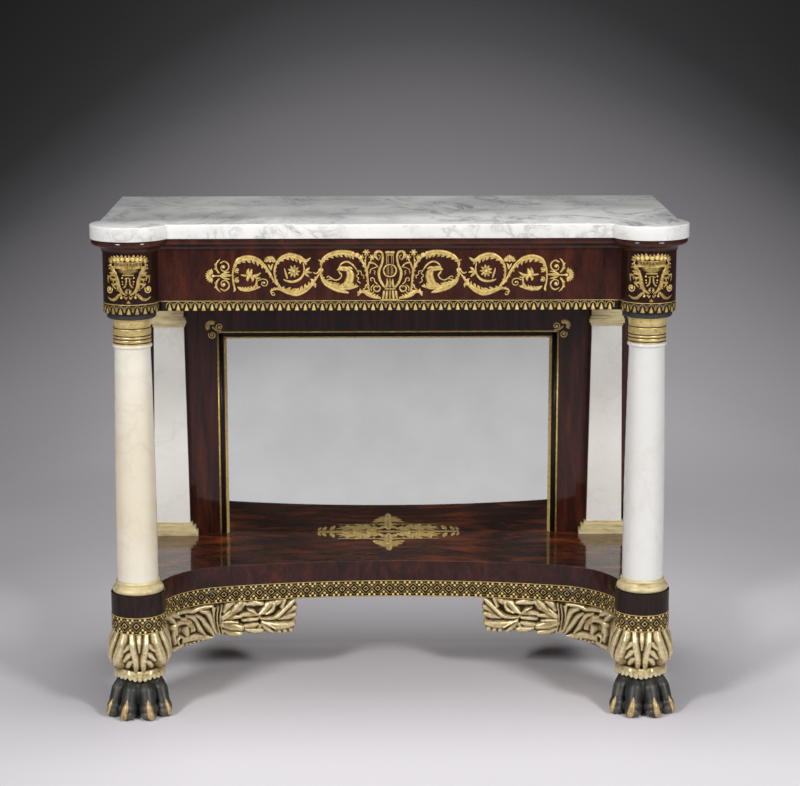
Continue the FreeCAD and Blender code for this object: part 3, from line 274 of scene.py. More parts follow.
class Relief:
    """Raised ornament, drawn in millimetres across, up and out of a surface, then laid on it."""

    def __init__(self, sink=0.8):
        self.points = []
        self.faces = []
        self.shades = []
        self.sink = sink

    def loft(self, sections, shades):
        """A closed skin through like rings of points. Shades give each point of a ring the brightness of its gold:
        painted shade and highlight.
        """
        start = len(self.points)
        size = len(shades)
        for section in sections:
            self.points += section
            self.shades += shades
        self.faces += wrap(len(sections), size, start, falling=True)
        self.faces.append(tuple(range(start, start + size)))
        self.faces.append(tuple(reversed(range(len(self.points) - size, len(self.points)))))

    def ridge(self, line, widths, height, groove=0, steps=5, shade=1, rounded=True, edge=(0.3, 0.88)):
        """A rib along a smooth line. Widths taper along it, and a groove runs down its middle. Its ends
        are rounded off, and edge gives how high it is at its sides and halfway up."""
        track = smooth_line(line, steps)
        half = np.interp(np.linspace(0, 1, len(track)), np.linspace(0, 1, len(widths)), widths) / 2
        wide = half.max()
        if rounded:
            length = np.append(0, np.cumsum(np.linalg.norm(np.diff(track, axis=0), axis=1)))
            reach = min(wide, 0.45 * length[-1])
            turn = reach * np.array((0, 0.12, 0.35, 0.65))
            inner = length[(length > reach) & (length < length[-1] - reach)]
            places = np.concatenate((turn, inner, length[-1] - turn[::-1]))
            track = np.stack([np.interp(places, length, track[:, k]) for k in (0, 1)], 1)
            from_end = np.minimum(np.minimum(places, length[-1] - places) / reach, 1)
            half = np.interp(places, length, half) * np.sqrt(np.maximum(1 - (1 - from_end) ** 2, 0.03))
        along = np.gradient(track, axis=0)
        along /= np.maximum(np.linalg.norm(along, axis=1), 1e-9)[:, None]
        tall = height * (0.3 + 0.7 * half / wide)
        low, middle = edge
        section = ((-1, None), (-1, low), (-0.55, middle), (0, 1 - groove), (0.55, middle), (1, low), (1, None))
        rings = []
        for (u, v), (du, dv), wide, high in zip(track, along, half, tall):
            rings.append([(u - dv * across * wide, v + du * across * wide,
                           -self.sink if out is None else out * high) for across, out in section])
        # The rib is painted dark at its foot and in its groove and bright along its top: painted shade and a
        # painted highlight.
        self.loft(rings, [0, 0.1 * shade, shade, (1 - 1.8 * groove) * shade, 0.85 * shade, 0.1 * shade, 0])

    def bead(self, u, v, radius, height, turns=12):
        """A round boss."""
        start = len(self.points)
        # The boss is painted dark at its foot and bright on top: painted shade and a painted highlight.
        rings = ((1, -self.sink, 0), (1, 0.3 * height, 0.2), (0.75, 0.72 * height, 0.8), (0.4, 0.95 * height, 1))
        for share, rise, shade in rings:
            for turn in range(turns):
                angle = 2 * math.pi * turn / turns
                reach = share * radius
                self.points.append((u + reach * math.cos(angle), v + reach * math.sin(angle), rise))
                self.shades.append(shade)
        self.points.append((u, v, height))
        self.shades.append(1)
        self.faces += wrap(len(rings), turns, start)
        last = start + (len(rings) - 1) * turns
        for turn in range(turns):
            self.faces.append((last + turn, last + (turn + 1) % turns, len(self.points) - 1))
        self.faces.append(tuple(reversed(range(start, start + turns))))

    def petal(self, base, tip, width, height, groove=0.3, shade=1):
        """A small leaf from its base to its tip."""
        middle = [(base[k] + tip[k]) / 2 for k in (0, 1)]
        self.ridge((base, middle, tip), (0.35 * width, width, 0.85 * width, 0.15 * width), height, groove, 3, shade)

    def teeth(self, line, widths, count, height):
        """The leaf edge of a scroll: small leaves leaning forward along one side of its line."""
        track = smooth_line(line, 8)
        wide = np.interp(np.linspace(0, 1, len(track)), np.linspace(0, 1, len(widths)), widths)
        side = 1 if count > 0 else -1
        for k in np.linspace(0.12, 0.88, abs(count)) * (len(track) - 2):
            spot, along = track[int(k)], track[int(k) + 1] - track[int(k)]
            along /= np.linalg.norm(along)
            across = side * np.array((-along[1], along[0]))
            reach = wide[int(k)]
            base = spot + 0.1 * reach * across
            self.petal(base, base + 0.62 * reach * across + 0.5 * reach * along, 0.42 * reach, height)

    def fan(self, u, v, radius, count, first, last, height):
        """A spray of leaves round a point, between two angles in degrees."""
        for angle in np.radians(np.linspace(first, last, count)):
            way = np.array((math.cos(angle), math.sin(angle)))
            spot = np.array((u, v))
            self.petal(spot + 0.25 * radius * way, spot + radius * way, 4 * radius / (count + 2), height)

    def strip(self, first, last, low, high, height, step=5):
        """A flat band laid on the surface."""
        stations = np.linspace(first, last, max(2, int(abs(last - first) / step) + 1))
        self.loft([[(float(u), v, out) for v, out in ((low, -self.sink), (low, height), (high, height),
                                                      (high, -self.sink))] for u in stations], [0.7] * 4)

    def lay(self, name, surface, finish, flip=False):
        """Lays the drawn ornament on a surface, turned over where the surface calls for it."""
        points = [surface(*point) for point in self.points]
        faces = [face[::-1] for face in self.faces] if flip else self.faces
        piece = make_piece(name, points, faces, finish)
        # The shades go into the crest attribute, from which the gold paints its shade and highlight.
        piece.data.attributes.new("crest", "FLOAT", "POINT").data.foreach_set("value", self.shades)


def patchy(name, plain, stretch, patches, stops, depth=0):
    """A finish that comes in patches, which stand out a little if a depth is given."""
    finish = Finish(name, plain)
    wear = finish.clouds(finish.spot(stretch), *patches)
    finish.wear("Base Color", finish.tones(wear, stops))
    if depth:
        finish.relief(wear, depth)
    return finish


claw_gold = patchy("claw_gold", {"Metallic": 0.35, "Roughness": 0.4}, (1, 1, 0.5), (0.005, 5, 0.65), (
    (0.28, (0.16, 0.10, 0.045)), (0.45, (0.52, 0.36, 0.16)), (0.75, (0.70, 0.52, 0.27))), 0.0003)
for hand, sign in SIDES:
    paw_skin = BVHTree.FromObject(paws[hand], bpy.context.evaluated_depsgraph_get())
    points, faces = [], []
    for x, y, z, yaw in CLAW_TOES:
        for side in (-1, 1):
            pad = Vector((sign * LEG_X + side * x, LEG_Y + y, z)) / 1000
            claw = Relief(sink=1.5)
            claw.ridge([(side * u, v) for u, v in CLAW_LINE], CLAW_WIDTHS, height=3.2)
            faces += [tuple(len(points) + corner for corner in face) for face in claw.faces]
            for u, v, out in claw.points:
                rise = v / PAD_RADIUS
                turn = math.radians(side * yaw) + u / (PAD_RADIUS * math.cos(0.6 * rise))
                way = Vector((math.sin(turn) * math.cos(rise), -math.cos(turn) * math.cos(rise), math.sin(rise)))
                spot = paw_skin.ray_cast(pad + 0.06 * way, -way)[0]
                x_mm, y_mm, z_mm = 1000 * spot + float(out) * way
                points.append((x_mm, y_mm, max(z_mm, 0.2)))
    make_piece(f"gilt_claws_{hand}", points, faces, claw_gold, [f"paw_claws_{hand}"])


# Knees. Each is a turned bulb carved all round with leaves, then gilded: leaves with a pair
# of ribs and small lobes, broad plain ribs between them, and scalloped tips that hang over
# the ankle of the paw. A pin goes up into the drum.
KNEE_TOP = 160
KNEE_TURN = math.radians(-5)
KNEE_RADIUS = 52
KNEE_PROFILE = (
    (74, 40), (80, 40.5), (87, 41.5), (91, 44), (95, 47.5), (101, 52.5), (110, 55.5), (120, 56), (132, 55.5),
    (143, 53), (152, 49), (160, 46),
)
KNEE_ANGLE = 1.5
KNEE_ROW = 1.25
CREASE_DEPTH = 2
LEAF_SINK = 3
COLLAR_TOP = 89.5
COLLAR_ROWS = 12
COLLAR_RADIUS = 46
KNEE_WEDGE = ((((0, 164), (0, 145), (0, 127)), (15, 11, 3), 5),)
KNEE_RIBS = ((((18, 164), (13.2, 136), (9, 116), (7.6, 101), (9.5, 84)), (15, 15, 14.5, 13.5, 14), 7.5),)
KNEE_LOBES = (
    (((15, 143), (22, 137), (30, 128)), (9, 14, 7), 6.5), (((12.5, 128), (21, 121), (31, 110)), (9, 15, 7), 6.5),
    (((10.5, 113), (19, 106), (29, 96)), (9, 14, 6), 6),
)
KNEE_CHEEKS = (
    (((36, 164), (38.5, 137), (46, 117), (56, 98)), (22, 26, 28, 20), 9),
    (((57, 164), (62, 140), (67, 118), (70, 99)), (18, 22, 24, 16), 8.5),
)
worn_and_shaded_gold = Finish("worn_and_shaded_gold", {"Metallic": 0.55})
gold_patches = worn_and_shaded_gold.clouds(worn_and_shaded_gold.spot(), 0.022, 6, 0.62, 0.4)
gold_specks = worn_and_shaded_gold.clouds(worn_and_shaded_gold.spot(), 0.0045, 6, 0.7)
# The gold is painted dark in the carving's creases and pale on its crests, painted shade and a painted highlight,
# over random patches of tone.
gold_shade_and_patches = worn_and_shaded_gold.sum(worn_and_shaded_gold.crests(), worn_and_shaded_gold.sum(gold_patches, 0.55, "MULTIPLY"))
gold_colour = worn_and_shaded_gold.tones(gold_shade_and_patches, (
    (0.36, (0.035, 0.023, 0.011)), (0.52, (0.13, 0.088, 0.038)), (0.68, (0.38, 0.275, 0.12)),
    (0.86, (0.60, 0.46, 0.215)), (1.0, (0.82, 0.69, 0.41))))
gold_rubs = worn_and_shaded_gold.sum(worn_and_shaded_gold.tones(gold_specks, ((0.36, 1.0), (0.47, 0.0))), 0.45, "MULTIPLY")
worn_and_shaded_gold.wear("Base Color", worn_and_shaded_gold.mix(gold_rubs, gold_colour, (0.16, 0.10, 0.05)))
worn_and_shaded_gold.wear("Roughness", worn_and_shaded_gold.tones(gold_patches, ((0.3, 0.24), (0.7, 0.40))))
worn_and_shaded_gold.relief(gold_specks, 0.0005)


def bulb_radius(z):
    """The radius of the turned bulb at a height."""
    heights, radii = zip(*KNEE_PROFILE)
    return float(np.interp(z, heights, radii))


def on_knee(sign):
    """The bulb of a knee: distance round it from the front, height, and out."""
    def surface(u, v, out):
        turn = u / KNEE_RADIUS + KNEE_TURN
        reach = bulb_radius(v) + out
        return sign * (LEG_X + reach * math.sin(turn)), LEG_Y - reach * math.cos(turn), v
    return surface


def leaf_field(lines, across, up):
    """How far carved leaves stand out at points of a face. Each leaf is highest along its line, where it
    has a fine groove, and falls away until it meets the next in a crease. Also tells what lies on a leaf."""
    field = np.full(across.shape, -9.0)
    covered = np.zeros(across.shape, bool)
    for line, widths, height in lines:
        track = smooth_line(line, 8)
        half = np.interp(np.linspace(0, 1, len(track)), np.linspace(0, 1, len(widths)), widths) / 2
        share = np.full(across.shape, 9.0)
        for (u, v), wide in zip(track, half):
            share = np.minimum(share, np.hypot(across - u, up - v) / wide)
        rise = np.where(share < 0.7, 1 - share ** 2, 1.49 - 1.4 * share) - 0.1 * np.exp(-(share / 0.15) ** 2)
        field = np.maximum(field, height * rise)
        covered |= share < 1
    return field, covered


knee_lines = []
for leaf in range(-2, 4):
    lines = KNEE_WEDGE + KNEE_RIBS + (() if leaf % 2 else KNEE_LOBES + KNEE_CHEEKS)
    for way in (-1, 1):
        for line, widths, height in lines:
            placed = [(math.radians(90 * leaf + way * angle) * KNEE_RADIUS, z) for angle, z in line]
            knee_lines.append((placed, widths, height))
angles = np.arange(0, 360, KNEE_ANGLE)
from_leaf = np.abs(angles - 90 * np.round(angles / 90))
knee_around = np.radians(np.where(angles > 225, angles - 360, angles)) * KNEE_RADIUS
knee_heights = np.arange(KNEE_TOP, COLLAR_TOP, -KNEE_ROW)
knee_field, _ = leaf_field(knee_lines, *np.meshgrid(knee_around, knee_heights))
tip_round = np.abs(np.cos(np.radians(angles * 15)))
tip_low = np.where(from_leaf < 27, 68 + 3 * (from_leaf / 26) ** 2, 70.5 + 2 * ((45 - from_leaf) / 18) ** 2)
tip_low = tip_low + 4 * (1 - tip_round) ** 1.5
neck = 42 + 5 * np.clip(1 - from_leaf / 24, 0, 1)
for hand, sign in SIDES:
    surface = on_knee(sign)
    rows = [[(u, z, max(float(out), -CREASE_DEPTH) - LEAF_SINK) for u, out in zip(knee_around, line)]
            for z, line in zip(knee_heights, knee_field)]
    for share in np.linspace(0, 1, COLLAR_ROWS)[1:]:
        radii = neck + (COLLAR_RADIUS + 1.4 * tip_round - neck) * share + 2 * math.sin(math.pi * share)
        heights = COLLAR_TOP + (tip_low - COLLAR_TOP) * share
        rows.append([(u, z, radius - bulb_radius(z)) for u, z, radius in zip(knee_around, heights, radii)])
    rows.append([(u, low + 1.5, 0) for u, low in zip(knee_around, tip_low)])
    rows.append([(u, 77, -6) for u in knee_around])
    points = [surface(float(u), float(v), float(out)) for row in rows for u, v, out in row]
    size = len(angles)
    faces = wrap(len(rows), size)
    faces += [tuple(reversed(range(size))), tuple(range(len(points) - size, len(points)))]
    if sign > 0:
        faces = [face[::-1] for face in faces]
    knee = make_piece(f"carved_knee_{hand}", points, faces, worn_and_shaded_gold, [f"leaf_knee_{hand}"])
    carve(knee, tool=1.0, strokes=2)
    for point in knee.data.vertices:
        point.co.z = min(point.co.z, KNEE_TOP / 1000)
    note_crests(knee, reach=40)


# Rear feet. Plain turned feet, stained black, with a ring under the neck. Each has a pin
# that goes up into a block in the corner of the shelf frame.
dress(black_stain, "rear_foot_left", "rear_foot_right")


# Base drums. Turned blocks under the columns, veneered and polished nearly black, that the
# shelf's rails are housed in.
dark_veneer = patchy("dark_veneer", {
    "Coat Weight": 0.3, "Coat Roughness": 0.06, "Roughness": 0.45, "Specular IOR Level": 0.05,
}, (1, 1, 0.12), (0.006, 6, 0.6, 0.6), (
    (0.3, (0.010, 0.006, 0.005)), (0.62, (0.026, 0.014, 0.010)), (0.8, (0.045, 0.020, 0.012))), 0.0001)
dress(dark_veneer, "base_drum_left", "base_drum_right")


# Diaper bands. A black painted band round the foot of each base drum, with nested diamonds,
# trefoils and edge lines in gold leaf.
BASE_RADIUS = 50
BAND_LOW = 160
BAND_HIGH = 192
DIAMOND_SPACING = 23
DIAMONDS = ((4.7, 1.4, 0.8), (11.3, 1.3, 0.5))
TREFOIL = ((0, 7.5, 2.7), (-4.7, 2.7, 2.8), (4.7, 2.7, 2.8))
TREFOIL_EDGE = 14.4
leaf_gold = Finish("leaf_gold", {"Metallic": 0.3, "Roughness": 0.36})
leaf_wear = leaf_gold.clouds(leaf_gold.spot(), 0.006, 6, 0.65)
# The gold is painted darker at the ribs' feet and brighter on their tops from the crest attribute, painted shade
# and highlight, mixed with random wear.
leaf_shade_and_wear = leaf_gold.sum(
    leaf_gold.sum(leaf_gold.crests(), 0.5, "MULTIPLY"), leaf_gold.sum(leaf_wear, 0.85, "MULTIPLY"))
leaf_gold.wear("Base Color", leaf_gold.tones(leaf_shade_and_wear, (
    (0.36, (0.085, 0.048, 0.012)), (0.58, (0.34, 0.22, 0.062)), (0.82, (0.75, 0.53, 0.17)),
    (1.0, (0.95, 0.75, 0.32)))))
leaf_gold.relief(leaf_wear, 0.0002)
black_ground = patchy("black_ground", {
    "Coat Weight": 0.2, "Coat Roughness": 0.25, "Roughness": 0.5, "Specular IOR Level": 0.1,
}, (1, 1, 1), (0.01, 5, 0.6), ((0.3, (0.008, 0.007, 0.006)), (0.7, (0.022, 0.016, 0.012))))


def on_drum(sign, radius):
    """The round face of a drum: along it from the front, height, and out."""
    def surface(u, v, out):
        angle = u / radius
        return (sign * LEG_X + (radius + out) * math.sin(angle), LEG_Y - (radius + out) * math.cos(angle), v)
    return surface


def diaper(name, surface, first, last):
    """A painted band from first to last, with a diamond at its middle."""
    ground = Relief()
    ground.strip(first, last, BAND_LOW + 0.2, BAND_HIGH, height=0.25)
    ground.lay(f"{name}_ground", surface, black_ground)
    gold = Relief(sink=0.3)
    for line in (BAND_LOW + 1.1, BAND_HIGH - 0.8):
        gold.strip(first, last, line - 0.6, line + 0.6, 0.65)
    middle = (BAND_LOW + BAND_HIGH) / 2
    half = DIAMOND_SPACING / 2
    for k in range(math.ceil((first + 2) / half), math.floor((last - 2) / half) + 1):
        u = k * half
        if k % 2:
            for up in (-1, 1):
                for aside, below, radius in TREFOIL:
                    gold.bead(u + aside, middle + up * (TREFOIL_EDGE - below), radius, 0.9, 8)
            continue
        if u - half < first or u + half > last:
            continue
        for size, width, shade in DIAMONDS:
            corners = ((u + size, middle), (u, middle + size), (u - size, middle), (u, middle - size))
            for one, other in zip(corners, corners[1:] + corners[:1]):
                gold.ridge((one, other), (width, width), 0.7, steps=1, shade=shade, rounded=False)
    gold.lay(f"{name}_gold", surface, leaf_gold)


diaper("drum_band_left", on_drum(-1, BASE_RADIUS), -115, 97)
diaper("drum_band_right", on_drum(1, BASE_RADIUS), -97, 115)


# Shelf frame. A softwood front rail, bearer and corner blocks, tenoned and glued together
# under the shelf. The side rails are veneered, and the board and back rail stained to match.
bare_pine = patchy("bare_pine", {"Roughness": 0.72}, (0.08, 1, 1), (0.009, 5, 0.6, 0.8), (
    (0.3, (0.24, 0.135, 0.055)), (0.5, (0.40, 0.25, 0.115)), (0.75, (0.47, 0.31, 0.15))), 0.0003)


def mahogany(name, stretch, turn, size, twist, polish, dark, middle, light):
    """Red-brown veneer, French polished. The figure runs long in the direction that isn't stretched."""
    veneer = Finish(name, {
        "Coat Weight": polish, "Coat Roughness": 0.05, "Roughness": 0.45, "Specular IOR Level": 0.08})
    figure = veneer.clouds(veneer.spot(stretch, turn), size, 5, 0.58, twist)
    pores = veneer.clouds(veneer.spot([8 * each for each in stretch], turn), size * 0.9, 4, 0.7)
    colour = veneer.tones(figure, ((0.30, dark), (0.52, middle), (0.74, light)))
    streaks = veneer.tones(pores, ((0.36, 0.45), (0.52, 1.0)))
    veneer.wear("Base Color", veneer.mix(0.75, colour, streaks, "MULTIPLY"))
    veneer.relief(pores, 0.00008)
    return veneer


upright_veneer = mahogany("upright_veneer", (1, 1, 0.09), (0, 0, 0), 0.02, 0.7, 0.5,
                          (0.012, 0.004, 0.003), (0.040, 0.010, 0.006), (0.085, 0.019, 0.009))
dress(bare_pine, "shelf_front_rail", "shelf_bearer", "shelf_corner_blocks")
dress(upright_veneer, "shelf_side_rail_left", "shelf_side_rail_right", "shelf_back_rail", "shelf_board")


# Shelf top and front. Flame-figured veneers laid on the shelf board and round its swept
# front rail, French polished until they mirror the back.
flame_veneer = mahogany("flame_veneer", (0.35, 1, 1), (0, 0, 0.5), 0.1, 3.0, 0.9,
                        (0.014, 0.005, 0.003), (0.085, 0.018, 0.006), (0.36, 0.075, 0.018))
sweep_veneer = mahogany("sweep_veneer", (1, 1, 0.4), (0, 0, 0), 0.04, 2.2, 0.4,
                        (0.016, 0.006, 0.004), (0.040, 0.011, 0.008), (0.085, 0.019, 0.010))
dress(flame_veneer, "shelf_veneer")
dress(sweep_veneer, "shelf_front_veneer")
END_CENTRE = (293, -158)
FRONT_END_RADIUS = 140
FRONT_RADIUS = 1350.35
SWEEP_Y = -1332.35
JOIN_ANGLE = math.asin(END_CENTRE[0] / (FRONT_RADIUS - FRONT_END_RADIUS))
FRONT_JOIN = FRONT_RADIUS * JOIN_ANGLE
FRONT_LENGTH = FRONT_JOIN + FRONT_END_RADIUS * (math.pi / 2 - JOIN_ANGLE)


def on_shelf_front(u, v, out):
    """The swept face of the shelf: along it from its middle, height, and out."""
    if abs(u) < FRONT_JOIN:
        angle = u / FRONT_RADIUS
        return (FRONT_RADIUS - out) * math.sin(angle), SWEEP_Y + (FRONT_RADIUS - out) * math.cos(angle), v
    angle = JOIN_ANGLE + (abs(u) - FRONT_JOIN) / FRONT_END_RADIUS
    reach = FRONT_END_RADIUS - out
    way = 1 if u > 0 else -1
    return way * (END_CENTRE[0] + reach * math.sin(angle)), END_CENTRE[1] + reach * math.cos(angle), v


diaper("shelf_band", on_shelf_front, -FRONT_LENGTH, FRONT_LENGTH)


# Leaf brackets. Lengths of carved and gilded wood glued under the shelf front from each
# knee inward: ribbed scrolls by the knee, a ribbed tie, then two whorls of leaves.
END_RADIUS = 143
SWEEP_RADIUS = 1353.35
BRACKET_START = 180
INNER_ANGLE = math.asin(BRACKET_START / SWEEP_RADIUS)
SWEEP_LENGTH = SWEEP_RADIUS * (JOIN_ANGLE - INNER_ANGLE)


def on_bracket(sign):
    """The face of a bracket: distance from its inner end, height, and out towards the viewer."""
    def surface(u, v, out):
        if u < SWEEP_LENGTH:
            angle = INNER_ANGLE + u / SWEEP_RADIUS
            reach = SWEEP_RADIUS - out
            return sign * reach * math.sin(angle), SWEEP_Y + reach * math.cos(angle), v
        angle = math.pi / 2 - JOIN_ANGLE - (u - SWEEP_LENGTH) / END_RADIUS
        reach = END_RADIUS - out
        return (sign * (END_CENTRE[0] + reach * math.cos(angle)), END_CENTRE[1] + reach * math.sin(angle), v)
    return surface


BRACKET_LOBES = (
    (((70.1, 122), (54.2, 121.1), (38.3, 124.6), (22.3, 139), (11.6, 149.4), (4.7, 156.8)),
     (6.4, 11.2, 14.6, 15.5, 15.5, 9.6), 13.5),
    (((73.2, 129.9), (62.5, 136.9), (53.9, 146.2), (45.4, 152.8)), (9.2, 21.3, 24.4, 12.2), 10),
    (((60.5, 130.2), (48.7, 137.2), (43.3, 149.9)), (7.3, 14.6, 9.6), 12.5),
    (((42.3, 147.7), (33.7, 153.8), (25.3, 156.6)), (14.9, 21.4, 14.9), 9),
    (((28.6, 142.6), (23.2, 156.5)), (12.1, 12.1), 11.5),
    (((27.7, 124), (17.1, 132.2), (8.6, 138.4), (2.2, 140.3)), (7.3, 16.9, 19.4, 9.6), 8.5),
    (((35.2, 119), (19.3, 122.5), (3.9, 125.6)), (8.5, 21.4, 10.7), 9),
    (((69.1, 117.6), (56.5, 111.4), (41.7, 105.1), (24.8, 104.7), (7.8, 106.6)),
     (4.6, 13.7, 24.4, 25.9, 15.2), 11),
    (((68.1, 114.8), (54.4, 108), (41.8, 99.6)), (5.7, 11.2, 7.3), 13),
    (((38.5, 103.8), (34.4, 93.7)), (19.1, 12.9), 8), (((25.9, 102), (22.8, 93.1)), (19.1, 12.9), 8.5),
    (((15.3, 102.6), (11.1, 94.7)), (19.1, 12.9), 8),
    (((69.1, 113.2), (60.8, 104), (48.2, 92.9)), (6.8, 20.7, 10.4), 10.5),
    (((76.6, 110.4), (86.2, 107.8), (101, 107.7)), (9.6, 19.4, 12.1), 9),
    (((69.3, 97.4), (84.2, 98.3), (99, 101)), (14.6, 19.4, 9.6), 11.5),
    (((71.3, 106.8), (75.7, 98.4)), (14.6, 14.6), 9.5),
    (((76.3, 129), (91.1, 131), (108.1, 130)), (6.8, 20.7, 10.4), 9.5),
    (((77.5, 120.9), (92.3, 121.3), (105.1, 120.5)), (9.6, 14.6, 9.6), 12),
    (((77.4, 131.2), (85.8, 137.2), (95.2, 141.6)), (5.9, 11.2, 5.7), 11.5),
    (((97.2, 152.1), (83.4, 153.9), (67.6, 150.8)), (12.2, 21.3, 12.2), 11),
    (((144.2, 127.1), (130.2, 135.9), (115.3, 146.8), (101.4, 154.5)), (16.8, 24.4, 27.5, 13.7), 11.5),
    (((128.1, 139), (117.3, 149.1), (108.8, 157.2)), (8.5, 19.1, 12.9), 14),
    (((141.3, 140), (133.2, 150.2), (124.6, 156.7)), (12.9, 21.4, 12.9), 9.5),
    (((144.2, 125), (128.3, 127.6), (109.2, 127.3)), (12.9, 19.1, 10.7), 9.5),
    (((146, 114.2), (128.5, 109.6), (108.5, 104.9)), (19.8, 32.1, 19.8), 11),
    (((145.3, 119.6), (130.5, 119), (115.7, 116.9)), (9.6, 12.1, 7.3), 12),
    (((142.4, 102), (128.7, 96), (109.7, 92.4)), (12.9, 19.1, 12.9), 8.5),
    (((159.2, 147.9), (161.6, 133), (160.3, 115.5), (155.8, 96.5)), (6.1, 5.6, 5.6, 6.1), 9),
    (((152.8, 149.5), (155.5, 132.4), (154.8, 114.9), (150.5, 96.1)), (6.1, 5.6, 5.6, 6.1), 10),
    (((145.9, 151.7), (149.4, 131.9), (148.8, 114.5), (144.7, 95.1)), (6.1, 5.6, 5.6, 6.1), 9.5),
    (((163.5, 149.7), (162, 127.5), (158.5, 111.8), (153.1, 95)), (7.8, 6.7, 6.7, 5.6), 8.5),
    (((187.1, 145.5), (175.2, 141), (168.7, 128.3), (164.2, 112.4), (158.7, 99.4)),
     (10.7, 19.1, 17, 14.8, 8.5), 11.5),
    (((197.4, 138.6), (187.3, 130.7), (179.6, 120), (170, 107.3), (162.6, 94)),
     (9.4, 16.9, 18.7, 16.9, 7.5), 12),
    (((219.2, 141.7), (204.9, 135.1), (196.7, 122.7), (189.8, 110.1), (180, 98.1)),
     (9.4, 18.7, 18.7, 16.9, 7.5), 12),
    (((232.3, 138.8), (218.2, 133.4), (207.4, 122.7), (202.3, 110.3)), (8.5, 17, 17, 10.7), 10.5),
    (((244.5, 111.7), (246.8, 126.5), (236.2, 131.6), (220.6, 129.1), (210.7, 119.5), (207.6, 109.3)),
     (11.3, 20.7, 16.9, 13.1, 11.3, 9.4), 10),
    (((216.3, 120.6), (217.6, 113.2), (216.6, 104.4)), (10.5, 19.8, 16.8), 8.5),
    (((164.6, 90.4), (179.1, 92.2), (195.2, 94.7), (210.1, 95.5), (223.8, 94.5)),
     (7.5, 18.7, 22.5, 22.5, 18.7), 10),
    (((238.7, 88.4), (241.6, 97.7), (235.7, 103.4), (228.4, 99.3), (228.6, 91.8)),
     (8.5, 9.8, 9.8, 9.8, 7.8), 10),
    (((263.5, 148.8), (253.3, 140.5), (247.9, 134.4)), (10.7, 14.8, 8.5), 9),
    (((260.4, 150.3), (247.5, 149), (235.9, 143.4)), (10.7, 19.1, 10.7), 8),
    (((237, 150.7), (220.1, 150.4), (204.7, 147.4), (192, 150.1), (178, 151.4), (164.4, 152.7)),
     (10.7, 14.8, 14.8, 14.8, 14.8, 10.7), 8),
    (((252.4, 80.4), (241.4, 83.3), (228.8, 86.1)), (8.5, 14.8, 12.7), 8.5),
    (((249.7, 122.5), (248.8, 107.1), (246.4, 93.2)), (10.7, 12.7, 8.5), 8),
)
BRACKET_BEADS = (
    (219.3, 85.9, 3.7, 9), (211.5, 84.7, 3.9, 10), (202.8, 85.5, 3.9, 10), (193.8, 86.8, 3.9, 10.5),
    (184.7, 87.2, 3.7, 10), (175.2, 87.8, 3.4, 9.5), (73.8, 123.4, 7.4, 8),
)
BRACKET_CORE = (
    (7, 104, 146), (24, 98, 158), (68, 97, 160), (112, 95, 160), (143, 96, 160), (156, 100, 160), (177, 93, 160),
    (210, 88, 160), (238, 86, 160), (265, 88, 159), (306, 98, 157),
)
BRACKET_CELL = 1.2
BRACKET_BACK = -31
BRACKET_SINK = 9
BRACKET_RISE = (0.5, 15)
bracket_lines = list(BRACKET_LOBES)
for u, v, radius, height in BRACKET_BEADS:
    bracket_lines.append((((u - 0.5, v), (u + 0.5, v)), (2 * radius, 2 * radius), height))
across_grid, up_grid = np.meshgrid(np.arange(-2, 306.5, BRACKET_CELL), np.arange(76, 160.5, BRACKET_CELL))
bracket_field, _ = leaf_field(bracket_lines, across_grid, up_grid)
middle_u, middle_v = across_grid[1:, 1:] - BRACKET_CELL / 2, up_grid[1:, 1:] - BRACKET_CELL / 2
_, kept = leaf_field(bracket_lines, middle_u, middle_v)
core_u, core_low, core_high = zip(*BRACKET_CORE)
kept |= (middle_u > core_u[0]) & (middle_v > np.interp(middle_u, core_u, core_low)) & (
    middle_v < np.interp(middle_u, core_u, core_high))
bracket_out = np.clip(bracket_field, *BRACKET_RISE) - BRACKET_SINK
rows_up, rows_across = across_grid.shape
for hand, sign in SIDES:
    surface = on_bracket(sign)
    points = [surface(float(u), float(v), float(out))
              for u, v, out in zip(across_grid.flat, up_grid.flat, bracket_out.flat)]
    points += [surface(float(u), float(v), BRACKET_BACK) for u, v in zip(across_grid.flat, up_grid.flat)]
    behind = across_grid.size
    faces = []
    for j, k in zip(*np.nonzero(kept)):
        a = int(j * rows_across + k)
        ring = (a, a + 1, a + rows_across + 1, a + rows_across)
        faces += [ring, tuple(corner + behind for corner in reversed(ring))]
        beside = ((j - 1, k), (j, k + 1), (j + 1, k), (j, k - 1))
        for side, (row, column) in enumerate(beside):
            if not (0 <= row < rows_up - 1 and 0 <= column < rows_across - 1 and kept[row, column]):
                first, second = ring[side], ring[(side + 1) % 4]
                faces.append((second, first, first + behind, second + behind))
    used = sorted({corner for face in faces for corner in face})
    place = {corner: spot for spot, corner in enumerate(used)}
    faces = [tuple(place[corner] for corner in face) for face in faces]
    if sign > 0:
        faces = [face[::-1] for face in faces]
    bracket = make_piece(f"carved_bracket_{hand}", [points[corner] for corner in used], faces, worn_and_shaded_gold,
                         [f"leaf_bracket_{hand}"])
    carve(bracket, tool=1.0, strokes=3)
    for point in bracket.data.vertices:
        point.co.z = min(point.co.z, BAND_LOW / 1000)
    note_crests(bracket, reach=40)


# Back frame. Two wide stiles and a top rail, veneered with the grain upright and polished,
# tenoned into the shelf board below.
dress(upright_veneer, "back_stile_left", "back_stile_right", "back_top_rail")


